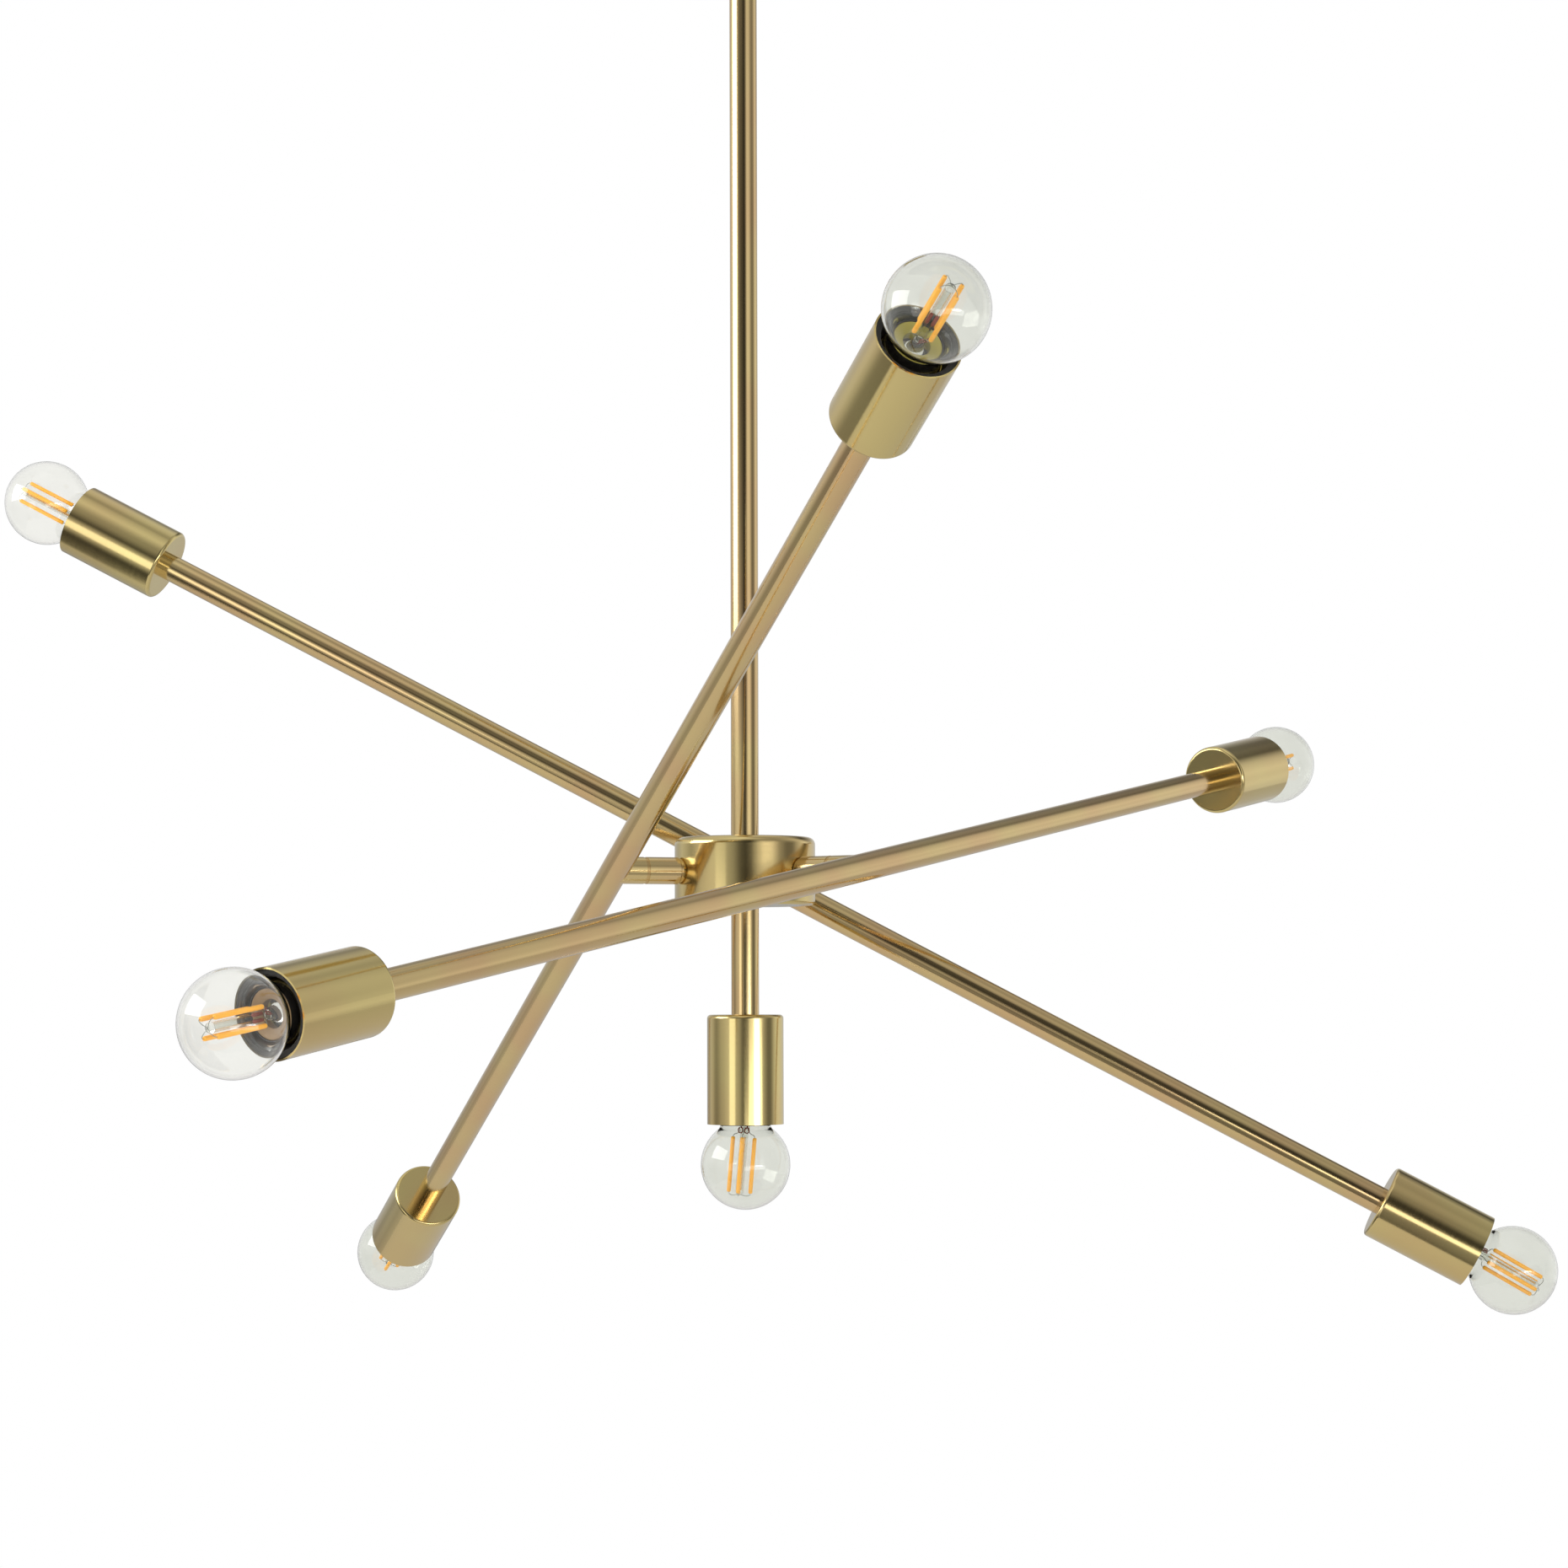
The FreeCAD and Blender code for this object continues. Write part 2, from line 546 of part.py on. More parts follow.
def lamp_nodes(nodes, lamp, owner, where):
    """Adds one lamp's pieces; the small ones join their owner's groups."""
    nodes[lamp + "_cup"] = placed([lamp_cup()], where)
    nodes[lamp + "_lampholder"] = placed([lampholder()], where)
    nodes[lamp + "_globe"] = placed([globe()], where)
    nodes.setdefault(owner + "_contacts", []).extend(placed(holder_contacts(), where))
    nodes.setdefault(owner + "_bulb_caps", []).extend(placed([bulb_cap()], where))
    nodes.setdefault(owner + "_filaments", []).extend(placed([filament_set()], where))


def build():
    """Every node's solids, in the part's frame."""
    nodes = {}
    hub_place = FreeCAD.Placement(vec(0, 0, -DROP), FreeCAD.Rotation())

    nodes["ceiling_crossbar"] = [crossbar()]
    nodes["canopy"] = [canopy()]
    nodes["canopy_studs"] = canopy_studs()
    nodes["canopy_cap_nuts"] = canopy_cap_nuts()
    stem_top = -CANOPY_HEIGHT
    stem_bottom = -DROP + hub_top
    nodes["stem_tube"] = [bushed_tube(stem_top - stem_bottom, stem_bottom)]
    nipple_top = -BAR_DROP + NUT_HEIGHT + THREAD_PROUD
    nipple_bottom = stem_top - BUSHING_LENGTH
    nodes["threaded_nipples"] = [
        tube(thread_r, THREAD_BORE / 2, nipple_top - nipple_bottom, nipple_bottom)]
    nodes["threaded_nipples"] += placed([hub_nipple()], hub_place)
    nodes["lock_nuts"] = [hexagon_nut(-BAR_DROP, Z), hexagon_nut(-BAR_DROP - BAR_THICK - NUT_HEIGHT, Z)]
    hub_nuts = [hexagon_nut(hub_top - HUB_WALL - NUT_HEIGHT, Z), hexagon_nut(-hub_top + COVER_THICK, Z)]
    nodes["lock_nuts"] += placed(hub_nuts, hub_place)
    nodes["hub_shell"] = placed([hub_shell()], hub_place)
    nodes["hub_cover"] = placed([hub_cover()], hub_place)
    nodes["lower_stem"] = placed([lower_stem()], hub_place)

    supply_end = -DROP + lead_r + RUN_GAP
    bottom_lead_start = -lead_r - RUN_GAP
    bottom_lead_end = -hub_top - LOWER_STEM_LENGTH - CUP_WALL - BOSS_HEIGHT - CHAMBER_HEIGHT / 3
    nodes["fixture_leads"] = [rod(SUPPLY_DIA / 2, nipple_top - supply_end, supply_end)]
    nodes["fixture_leads"] += placed(
        [rod(lead_r, bottom_lead_start - bottom_lead_end, bottom_lead_end)], hub_place)

    for name in ("friction_washers", "retaining_rings", "wire_connectors"):
        nodes[name] = []
    for side, azimuth in SPIGOT_ANGLE.items():
        swivel = hub_place.multiply(FreeCAD.Placement(vec(0, 0, 0), FreeCAD.Rotation(Z, azimuth)))
        nodes[side + "_swivel_spigot"] = placed([swivel_spigot()], swivel)
        nodes["friction_washers"] += placed([friction_washer()], swivel)
        nodes["retaining_rings"] += placed([retaining_ring()], swivel)
        nodes["lock_nuts"] += placed([spigot_nut()], swivel)
        nodes["wire_connectors"] += placed([connector()], swivel)
        nodes["fixture_leads"] += placed(spigot_leads(), swivel)

        arm = side + "_arm"
        turned_up = FreeCAD.Placement(vec(0, 0, 0), FreeCAD.Rotation(X, ARM_RISE[side]))
        arm_place = swivel.multiply(turned_up)
        nodes[arm + "_tube"] = placed([arm_tube()], arm_place)
        nodes[arm + "_swivel_sleeve"] = placed([swivel_sleeve()], arm_place)
        nodes[arm + "_leads"] = placed(arm_leads(), arm_place)
        for end, way in (("upper", 1), ("lower", -1)):
            lamp_place = FreeCAD.Placement(vec(ARM_OFFSET, way * ARM_HALF, 0),
                                           FreeCAD.Rotation(X, -90 * way))
            lamp_nodes(nodes, arm + "_" + end, arm, arm_place.multiply(lamp_place))

    below = FreeCAD.Placement(vec(0, 0, -DROP - hub_top - LOWER_STEM_LENGTH), FreeCAD.Rotation(X, 180))
    lamp_nodes(nodes, "bottom", "bottom", below)
    return nodes


os.makedirs("parts", exist_ok=True)
for node_name, solids in build().items():
    Part.makeCompound(solids).exportStep("parts/" + node_name + ".step")
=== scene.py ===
"""Sputnik chandelier: brushed brass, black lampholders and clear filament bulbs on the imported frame.

Sizes in the classes are millimetres, as on a drawing, but for the studio's, which are metres.
MM turns millimetres to metres.
"""

import json
import logging
import math
from collections.abc import Callable, Iterable, Iterator
from contextlib import contextmanager
from dataclasses import dataclass, field
from enum import Enum
from itertools import pairwise
from typing import NamedTuple

import bpy
from mathutils import Matrix, Vector


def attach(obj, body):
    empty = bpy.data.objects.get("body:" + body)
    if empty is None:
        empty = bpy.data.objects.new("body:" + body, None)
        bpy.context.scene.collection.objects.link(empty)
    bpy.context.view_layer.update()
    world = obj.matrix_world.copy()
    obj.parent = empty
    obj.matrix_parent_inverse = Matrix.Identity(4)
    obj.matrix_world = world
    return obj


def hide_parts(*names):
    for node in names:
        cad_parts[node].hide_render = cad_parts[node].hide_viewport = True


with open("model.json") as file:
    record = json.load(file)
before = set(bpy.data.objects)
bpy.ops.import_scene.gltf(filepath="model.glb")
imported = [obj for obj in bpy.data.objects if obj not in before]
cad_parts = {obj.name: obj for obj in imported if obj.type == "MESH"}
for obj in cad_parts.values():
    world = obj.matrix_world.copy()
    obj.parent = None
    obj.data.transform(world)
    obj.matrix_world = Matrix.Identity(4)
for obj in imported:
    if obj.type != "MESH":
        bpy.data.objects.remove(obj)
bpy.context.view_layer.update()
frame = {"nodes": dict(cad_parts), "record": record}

Tree = bpy.types.NodeTree
Socket = bpy.types.NodeSocket
Material = bpy.types.Material
Piece = bpy.types.Object
Span = tuple[float, float]
Rings = list[Span]  # radius and height of each ring

MM = 0.001
DROP = 510.0  # ceiling down to the plane of the swivel axes
THREAD_PITCH = 3.63  # of the bulb's cap and of the holder's screw shell
THREAD_STEPS = 12  # points along one pitch of them
TOUCH = 0.002  # mm, points nearer than this are one
BENCH = "bench_mm"  # attribute: where a point was when its piece was modelled, in millimetres
log = logging.getLogger("chandelier")


class Axis(Enum):
    """The axis that a brass piece was worked along or about. The value is the turn that brings it to Z."""

    X = (-90.0, "Y")
    Y = (90.0, "X")
    Z = (0.0, "Z")


class Grain(Enum):
    """How the brass was worked. The value is the pattern's size about and along the axis, in millimetres."""

    DRAWN = (0.8, 60.0)
    SPUN = (18.0, 0.5)


class End(Enum):
    """The two ends of an arm. The value is the way along the arm."""

    UPPER = 1
    LOWER = -1


# Shader nodes


def linear(colour: str) -> tuple[float, float, float, float]:
    """Turns an sRGB hex colour to linear.

    Args:
        colour: Six hex digits after a hash.

    Returns:
        Red, green, blue and an alpha of one.
    """
    parts = [int(colour[i : i + 2], 16) / 255 for i in (1, 3, 5)]
    red, green, blue = (p / 12.92 if p <= 0.04045 else ((p + 0.055) / 1.055) ** 2.4 for p in parts)
    return red, green, blue, 1.0


def add_node(
    tree: Tree, kind: str, sockets: dict[str | int, object] | None = None, **settings: object
) -> bpy.types.Node:
    """Adds a shader node.

    Args:
        tree: The tree that it goes into.
        kind: Blender's name for the node's type, without ShaderNode in front.
        sockets: A value, or another node's output to link from, for each input.
        **settings: The node's own properties.

    Returns:
        The new node.
    """
    made = tree.nodes.new(f"ShaderNode{kind}")
    for name, value in settings.items():
        setattr(made, name, value)
    for name, value in (sockets or {}).items():
        if isinstance(value, Socket):
            tree.links.new(value, made.inputs[name])
        else:
            made.inputs[name].default_value = value
    return made


def new_material(name: str) -> tuple[Material, Tree]:
    """Makes an empty material with nodes.

    Args:
        name: The finish's name.

    Returns:
        The material and its node tree.
    """
    made = bpy.data.materials.new(name)
    made.use_nodes = True
    made.node_tree.nodes.clear()
    return made, made.node_tree


def blend_colours(tree: Tree, share: Socket, first: str, second: str) -> Socket:
    """Mixes two sRGB hex colours by a pattern, which says how much of the second one shows."""
    mix = add_node(tree, "Mix", {0: share, 6: linear(first), 7: linear(second)}, data_type="RGBA")
    return mix.outputs[2]


def noise(tree: Tree, where: Socket, scale: float, detail: float = 2.0, roughness: float = 0.5) -> Socket:
    """Adds an uneven pattern, from 0 to 1."""
    sockets = {"Vector": where, "Scale": scale, "Detail": detail, "Roughness": roughness}
    return add_node(tree, "TexNoise", sockets).outputs["Fac"]


def map_range(tree: Tree, value: Socket, given: Span = (0.0, 1.0), wanted: Span = (0.0, 1.0)) -> Socket:
    """Maps the given range of a value to the wanted one."""
    sockets = {"From Min": given[0], "From Max": given[1], "To Min": wanted[0], "To Max": wanted[1]}
    return add_node(tree, "MapRange", {"Value": value, **sockets}).outputs[0]


def worked_out(tree: Tree, operation: str, *values: Socket | float) -> Socket:
    """Adds a sum of the kind that operation names."""
    return add_node(tree, "Math", dict(enumerate(values)), operation=operation).outputs[0]


def relief(tree: Tree, height: Socket, strength: float, depth: float) -> Socket:
    """Adds a fine relief that follows a pattern and is so many millimetres deep."""
    sockets = {"Height": height, "Strength": strength, "Distance": depth * MM}
    return add_node(tree, "Bump", sockets).outputs[0]


def surface(tree: Tree, sockets: dict[str, object]) -> Socket:
    """Adds the shader that most finishes are made with."""
    return add_node(tree, "BsdfPrincipled", sockets).outputs[0]


def mix_shaders(tree: Tree, share: Socket, first: Socket, second: Socket) -> Socket:
    """Mixes two shaders. Where the share is one, only the second shows."""
    return add_node(tree, "MixShader", {0: share, 1: first, 2: second}).outputs[0]


def show(tree: Tree, shader: Socket, kind: str = "OutputMaterial") -> None:
    """Ends a tree with the shader that is seen."""
    add_node(tree, kind, {"Surface": shader})


# Finishes


@dataclass(frozen=True)
class SatinBrass:
    """Brass, drawn or spun, satin finished and lacquered.

    The eye sees a pale gold with an olive side and a rosy side, crisp bands that follow the piece,
    faint lines from the tool, and a thin clear coat over them.
    """

    colour: str
    rosy: str
    roughness: float = 0.13
    duller: float = 0.06  # added to the roughness on the tool's ridges
    glossier: float = 0.04  # taken from it between them
    drift: float = 40.0  # mm over which the colour drifts, as the lacquer pools a little
    depth: float = 0.003  # mm
    lacquer: float = 0.3
    lacquer_roughness: float = 0.08

    def material(self, name: str, place: Matrix, axis: Axis, grain: Grain) -> Material:
        """Builds the material for pieces that share one axis.

        Args:
            name: The material's name.
            place: The frame that the pieces' axis is given in.
            axis: The axis that the pieces were worked along or about.
            grain: How they were worked. Real tool lines are 0.1 mm, so these are drawn coarser.

        Returns:
            The material.
        """
        made, tree = new_material(name)
        degrees, about_axis = axis.value
        own = Matrix.Rotation(math.radians(degrees), 4, about_axis) @ place.inverted()
        where = add_node(tree, "TexCoord").outputs["Object"]
        to_axis = {"Vector": where, "Location": own.to_translation(), "Rotation": own.to_euler()}
        along = add_node(tree, "Mapping", to_axis, vector_type="POINT").outputs[0]
        about, length = (1 / (size * MM) for size in grain.value)
        stretch = {0: along, 1: (about, about, length)}
        worked = add_node(tree, "VectorMath", stretch, operation="MULTIPLY").outputs[0]
        lines = noise(tree, worked, 1.0, 3.0, 0.6)
        share = map_range(tree, noise(tree, along, 1 / (self.drift * MM), 1.0), (0.35, 0.65))
        rough = map_range(tree, lines, wanted=(self.roughness - self.glossier, self.roughness + self.duller))
        sockets = {
            "Base Color": blend_colours(tree, share, self.colour, self.rosy),
            "Metallic": 1.0,
            "Roughness": rough,
            "Normal": relief(tree, lines, 0.5, self.depth),
            "Coat Weight": self.lacquer,
            "Coat Roughness": self.lacquer_roughness,
        }
        show(tree, surface(tree, sockets))
        return made


@dataclass(frozen=True)
class Plain:
    """A moulded, rolled or plated finish whose pattern is a fine even grain.

    The eye sees one colour with a slight drift, a little unevenness in the gloss and a fine skin.
    """

    name: str
    colour: str
    shade: str
    roughness: float
    metallic: float = 0.0
    grain: float = 0.5  # mm
    depth: float = 0.01  # mm
    drift: float = 12.0  # mm over which the colour drifts
    glossier: float = 0.8  # share of the roughness where it is least
    duller: float = 1.25  # share of it where it is most

    def material(self) -> Material:
        """Builds the material on Object coordinates.

        Returns:
            The material.
        """
        made, tree = new_material(self.name)
        where = add_node(tree, "TexCoord").outputs["Object"]
        fine = noise(tree, where, 1 / (self.grain * MM))
        broad = noise(tree, where, 1 / (self.drift * MM), 1.0)
        spread = self.roughness * self.glossier, min(1.0, self.roughness * self.duller)
        sockets = {
            "Base Color": blend_colours(tree, broad, self.colour, self.shade),
            "Metallic": self.metallic,
            "Roughness": map_range(tree, fine, wanted=spread),
            "Normal": relief(tree, fine, 0.3, self.depth),
        }
        show(tree, surface(tree, sockets))
        return made


@dataclass(frozen=True)
class ClearGlass:
    """Blown soda-lime glass of a bulb.

    The eye sees a pale grey-green veil, darker at the rim, and a very slight waviness. Lamps
    shine through it on what is inside.
    """

    name: str = "blown_soda_lime_glass"
    colour: str = "#EDEEE9"
    shadow: str = "#F4F4F2"
    index: float = 1.5
    wave: float = 9.0  # mm between the waves that blowing leaves
    depth: float = 0.0015  # mm

    def material(self) -> Material:
        """Builds the material on the bench attribute.

        Returns:
            The material.
        """
        made, tree = new_material(self.name)
        where = add_node(tree, "Attribute", attribute_name=BENCH).outputs["Vector"]
        uneven = noise(tree, where, 1 / self.wave, 0.0)
        sockets = {
            "Base Color": linear(self.colour),
            "Roughness": 0.0,
            "IOR": self.index,
            "Transmission Weight": 1.0,
            "Normal": relief(tree, uneven, 0.5, self.depth),
        }
        open_way = add_node(tree, "BsdfTransparent", {"Color": linear(self.shadow)}).outputs[0]
        in_shadow = add_node(tree, "LightPath").outputs["Is Shadow Ray"]
        show(tree, mix_shaders(tree, in_shadow, surface(tree, sockets), open_way))
        return made


@dataclass(frozen=True)
class FilamentAmber:
    """Silicone with yellow phosphor over a row of LED chips.

    The eye sees strong amber with a slightly paler dot over each chip, a soft gloss, and a faint painted
    glow though the bulb is unlit.
    """

    name: str = "phosphor_silicone_amber"
    colour: str = "#FFB02A"
    chip: str = "#FFC44A"
    pitch: float = 1.0  # mm between chips
    depth: float = 0.03  # mm
    roughness: float = 0.42
    glow: float = 0.18  # painted glow on the unlit filament, which stands for the light that the silicone scatters

    def material(self) -> Material:
        """Builds the material on the bench attribute.

        Returns:
            The material.
        """
        made, tree = new_material(self.name)
        where = add_node(tree, "Attribute", attribute_name=BENCH).outputs["Vector"]
        height = add_node(tree, "SeparateXYZ", {0: where}).outputs["Z"]
        wave = worked_out(tree, "SINE", worked_out(tree, "MULTIPLY", height, 2 * math.pi / self.pitch))
        share = map_range(tree, wave, (-0.2, 1.0))
        sockets = {
            "Base Color": blend_colours(tree, share, self.colour, self.chip),
            "Roughness": self.roughness,
            "Normal": relief(tree, wave, 0.3, self.depth),
            # painted glow: the unlit filaments give off a little light of their own colour
            "Emission Color": linear(self.colour),
            "Emission Strength": self.glow,
        }
        show(tree, surface(tree, sockets))
        return made


Finish = Plain | ClearGlass | FilamentAmber

SPUN_BRASS = SatinBrass("#D8C585", "#D6BD82")
DRAWN_BRASS = SatinBrass("#D9C187", "#D9B885")
PHENOLIC = Plain("black_phenolic_moulded", "#14110E", "#1D1915", 0.5, grain=0.4, depth=0.02)
CONTACT_BRASS = Plain("pressed_brass_bright", "#CBB254", "#B7A048", 0.24, metallic=1.0)
CAP_BRASS = Plain("rolled_brass_plain", "#C9B878", "#B7A568", 0.28, metallic=1.0)
CAP_END = Plain("black_vitrite_glass", "#0E0E12", "#191920", 0.15)
SOLDER = Plain("tin_solder_domed", "#B9B9B6", "#9C9C99", 0.35, metallic=1.0)
WIRE = Plain("nickel_iron_wire_drawn", "#B4B8B0", "#8E938A", 0.35, metallic=1.0, grain=0.2)
ENAMEL = Plain("copper_wire_enamelled", "#96402A", "#702C1C", 0.4, grain=0.2)
STEEL = Plain("zinc_plated_steel_bright", "#C9C8C2", "#B4B2A8", 0.3, metallic=1.0, grain=0.8)
WASHER = Plain("phosphor_bronze_spring", "#D6B880", "#C8A870", 0.22, metallic=1.0)
SHEATH = Plain("silicone_sheath_extruded", "#D9D4C8", "#CBC5B7", 0.5)
CONNECTOR = Plain("polycarbonate_moulded", "#DDDCD6", "#CFCDC5", 0.28)
AMBER = FilamentAmber()


class Cement(Enum):
    """The basing cements that the bulbs show. The value is the finish."""

    CURED = Plain("basing_cement_cured", "#C6BA4C", "#A89C40", 0.5, grain=0.7, depth=0.03)
    BROWNED = Plain("basing_cement_browned", "#A98A60", "#856946", 0.5, grain=0.7, depth=0.03)


class Glass(Enum):
    """The glasses that the bulbs are blown from. The value is the finish."""

    GREY = ClearGlass()
    PALE = ClearGlass("blown_soda_lime_glass_pale", "#F8F8F5")


# The finish of each material slot but for lacquered_brass, whose lines follow each piece's own axis.
PLAIN_SLOTS = {
    "black_phenolic": PHENOLIC,
    "clear_glass": Glass.GREY.value,
    "cap_brass": CAP_BRASS,
    "contact_brass": CONTACT_BRASS,
    "filament": AMBER,
    "lead_sheath": SHEATH,
    "plated_steel": STEEL,
    "washer_brass": WASHER,
    "connector_plastic": CONNECTOR,
}


def worn(finish: Finish) -> Material:
    """A finish's material, which is made the first time that it is asked for."""
    return bpy.data.materials.get(finish.name) or finish.material()


# Modelling


def start_clean() -> None:
    """Deselects everything, so that the next operator acts only on the new piece."""
    bpy.ops.object.select_all(action="DESELECT")


def added(name: str, operator: Callable[..., object], **settings: object) -> Piece:
    """Adds an object with one of Blender's operators.

    Args:
        name: The object's name.
        operator: The operator.
        **settings: What it is given.

    Returns:
        The new object, alone selected.
    """
    start_clean()
    operator(**settings)
    made = bpy.context.object
    made.name = made.data.name = name
    return made


def take_up(*pieces: Piece) -> None:
    """Selects these pieces alone, and makes the first one active.

    Args:
        *pieces: What the next operator acts on.
    """
    start_clean()
    for piece in pieces:
        piece.select_set(True)
    bpy.context.view_layer.objects.active = pieces[0]


@contextmanager
def editing(piece: Piece) -> Iterator[None]:
    """Opens a piece's mesh for the edits of a with block, all of it selected, and closes it again.

    Args:
        piece: The piece.

    Yields:
        Nothing, while the mesh is open.
    """
    take_up(piece)
    bpy.ops.object.mode_set(mode="EDIT")
    bpy.ops.mesh.select_all(action="SELECT")
    yield
    bpy.ops.object.mode_set(mode="OBJECT")


def select_rims() -> None:
    """Selects the open edges of the mesh that is being edited."""
    bpy.ops.mesh.select_all(action="DESELECT")
    bpy.ops.mesh.select_non_manifold()


def face_out() -> None:
    """Turns all normals of the mesh that is being edited outwards."""
    bpy.ops.mesh.select_all(action="SELECT")
    bpy.ops.mesh.normals_make_consistent(inside=False)


def turned(name: str, rings: Rings, segments: int, closed: bool = False, datum: float = 0.0) -> Piece:
    """Turns a piece about Z: a circle, extruded and resized from ring to ring.

    Args:
        name: The piece's name.
        rings: Radius and height of each ring. A radius of zero at either end closes a pole.
        segments: Faces round the piece.
        closed: True joins the last ring to the first, for a piece with a bore.
        datum: What the rings' heights are measured from.

    Returns:
        The piece, at the origin.
    """
    rings = [(radius, datum + height) for radius, height in rings]
    first_pole = rings[0][0] == 0
    body = rings[1:] if first_pole else rings
    radius, height = body[0]
    circle = {"vertices": segments, "radius": radius * MM, "location": (0, 0, height * MM)}
    piece = added(name, bpy.ops.mesh.primitive_circle_add, **circle)
    bpy.ops.object.transform_apply()
    with editing(piece):
        if first_pole:
            rise = (rings[0][1] - height) * MM
            bpy.ops.mesh.extrude_region_move(TRANSFORM_OT_translate={"value": (0, 0, rise)})
            bpy.ops.mesh.merge(type="CENTER")
            select_rims()
        for (r_from, z_from), (r_to, z_to) in pairwise(body):
            bpy.ops.mesh.extrude_region_move(TRANSFORM_OT_translate={"value": (0, 0, (z_to - z_from) * MM)})
            if r_to == 0:
                bpy.ops.mesh.merge(type="CENTER")
            elif r_to != r_from:
                scale = r_to / r_from
                bpy.ops.transform.resize(value=(scale, scale, 1), center_override=(0, 0, z_to * MM))
        if closed:
            select_rims()
            bpy.ops.mesh.bridge_edge_loops()
        face_out()
    return piece


def wire(name: str, points: list[tuple[float, float, float]], radius: float) -> Piece:
    """Bends a wire: a path through points, made round and turned to a mesh.

    Args:
        name: The piece's name.
        points: Where it goes, in millimetres.
        radius: The wire's radius.

    Returns:
        The wire as a closed mesh.
    """
    path = added(name, bpy.ops.curve.primitive_nurbs_path_add)
    path.data.splines.clear()
    run = path.data.splines.new("NURBS")
    run.points.add(len(points) - 1)
    for point, place in zip(run.points, points):
        point.co = (*(c * MM for c in place), 1.0)
    run.order_u = 3
    run.use_endpoint_u = True
    run.resolution_u = 4
    path.data.bevel_depth = radius * MM
    path.data.bevel_resolution = 2
    path.data.use_fill_caps = True
    bpy.ops.object.convert(target="MESH")
    return bpy.context.object


def joined(name: str, pieces: list[Piece]) -> Piece:
    """Joins pieces into one mesh.

    Args:
        name: The joined piece's name.
        pieces: What is joined.

    Returns:
        The one piece.
    """
    take_up(*pieces)
    bpy.ops.object.join()
    pieces[0].name = pieces[0].data.name = name
    return pieces[0]


def smooth(piece: Piece, degrees: float) -> Piece:
    """Shades a piece smooth.

    Args:
        piece: The piece.
        degrees: Edges that bend by more than this stay sharp.

    Returns:
        The same piece.
    """
    take_up(piece)
    bpy.ops.object.shade_smooth_by_angle(angle=math.radians(degrees))
    return piece


def arc_rings(radius: float, centre: float, start: float, end: float, steps: int) -> Rings:
    """Rings along part of a sphere.

    Args:
        radius: The sphere's radius.
        centre: Height of its centre.
        start: First angle from the downward pole, in degrees.
        end: Last angle.
        steps: Number of steps between them.

    Returns:
        The rings. A ring at a pole has a radius of zero.
    """
    rings = []
    for step in range(steps + 1):
        angle = math.radians(start + (end - start) * step / steps)
        across = radius * math.sin(angle)
        rings.append((0.0 if abs(across) < 1e-6 else across, centre - radius * math.cos(angle)))
    return rings


def rods(name: str, radius: float, span: Span, end: Rings, places: Rings) -> Piece:
    """Stands upright rods with rounded ends side by side.

    Args:
        name: The name of the joined rods.
        radius: Their radius.
        span: The heights of their lower and upper ends.
        end: Share of the radius, and distance from the end, of each ring that rounds it.
        places: X and Y of each rod.

    Returns:
        The rods as one mesh.
    """
    low, high = span
    lower = [(radius * share, low + in_by) for share, in_by in end]
    upper = [(radius * share, high - in_by) for share, in_by in reversed(end)]
    made = []
    for x, y in places:
        rod = turned("rod", [(0, low), *lower, *upper, (0, high)], 16)
        rod.data.transform(Matrix.Translation((x * MM, y * MM, 0)))
        made.append(smooth(rod, 50))
    return joined(name, made)


def bulb_thread(start: float, middle: float, low: float) -> Rings:
    """One pitch of the rolled thread of bulbs and holders.

    Args:
        start: Radius at both ends of the pitch.
        middle: Radius halfway along it.
        low: Height of its upper end.

    Returns:
        Radius and height of its points.
    """
    steps = range(THREAD_STEPS + 1)
    shares = [0.5 - 0.5 * math.cos(2 * math.pi * step / THREAD_STEPS) for step in steps]
    foot = low - THREAD_PITCH
    return [
        (start + (middle - start) * share, THREAD_PITCH * step / THREAD_STEPS + foot)
        for step, share in zip(steps, shares)
    ]


def helical(name: str, profile: Rings, pitch: float, turns: int, low: float, high: float) -> Piece:
    """Rolls a thread: a profile one pitch long, swept as a helix and cut square at both ends.

    Args:
        name: The piece's name.
        profile: Radius and height along one pitch.
        pitch: Rise in one turn.
        turns: Turns swept before the ends are cut.
        low: Height of the lower cut.
        high: Height of the upper cut.

    Returns:
        An open wall along the thread.
    """
    radius, height = profile[0]
    piece = added(name, bpy.ops.mesh.primitive_plane_add, size=1 * MM)
    with editing(piece):
        bpy.ops.mesh.merge(type="CENTER")
        bpy.ops.transform.translate(value=(radius * MM, 0, height * MM))
        for (r_from, z_from), (r_to, z_to) in pairwise(profile):
            move = ((r_to - r_from) * MM, 0, (z_to - z_from) * MM)
            bpy.ops.mesh.extrude_vertices_move(TRANSFORM_OT_translate={"value": move})
    sweep = piece.modifiers.new("thread", "SCREW")
    sweep.screw_offset = pitch * MM
    sweep.iterations = turns
    sweep.steps = sweep.render_steps = 48
    sweep.use_merge_vertices = True
    sweep.merge_threshold = 0.001 * MM
    bpy.ops.object.modifier_apply(modifier="thread")
    with editing(piece):
        for level, below, above in ((low, True, False), (high, False, True)):
            bpy.ops.mesh.select_all(action="SELECT")
            place = {"plane_co": (0, 0, level * MM), "plane_no": (0, 0, 1)}
            bpy.ops.mesh.bisect(**place, clear_inner=below, clear_outer=above)
        bpy.ops.mesh.select_all(action="SELECT")
        bpy.ops.mesh.remove_doubles(threshold=0.005 * MM)
        face_out()
    return piece


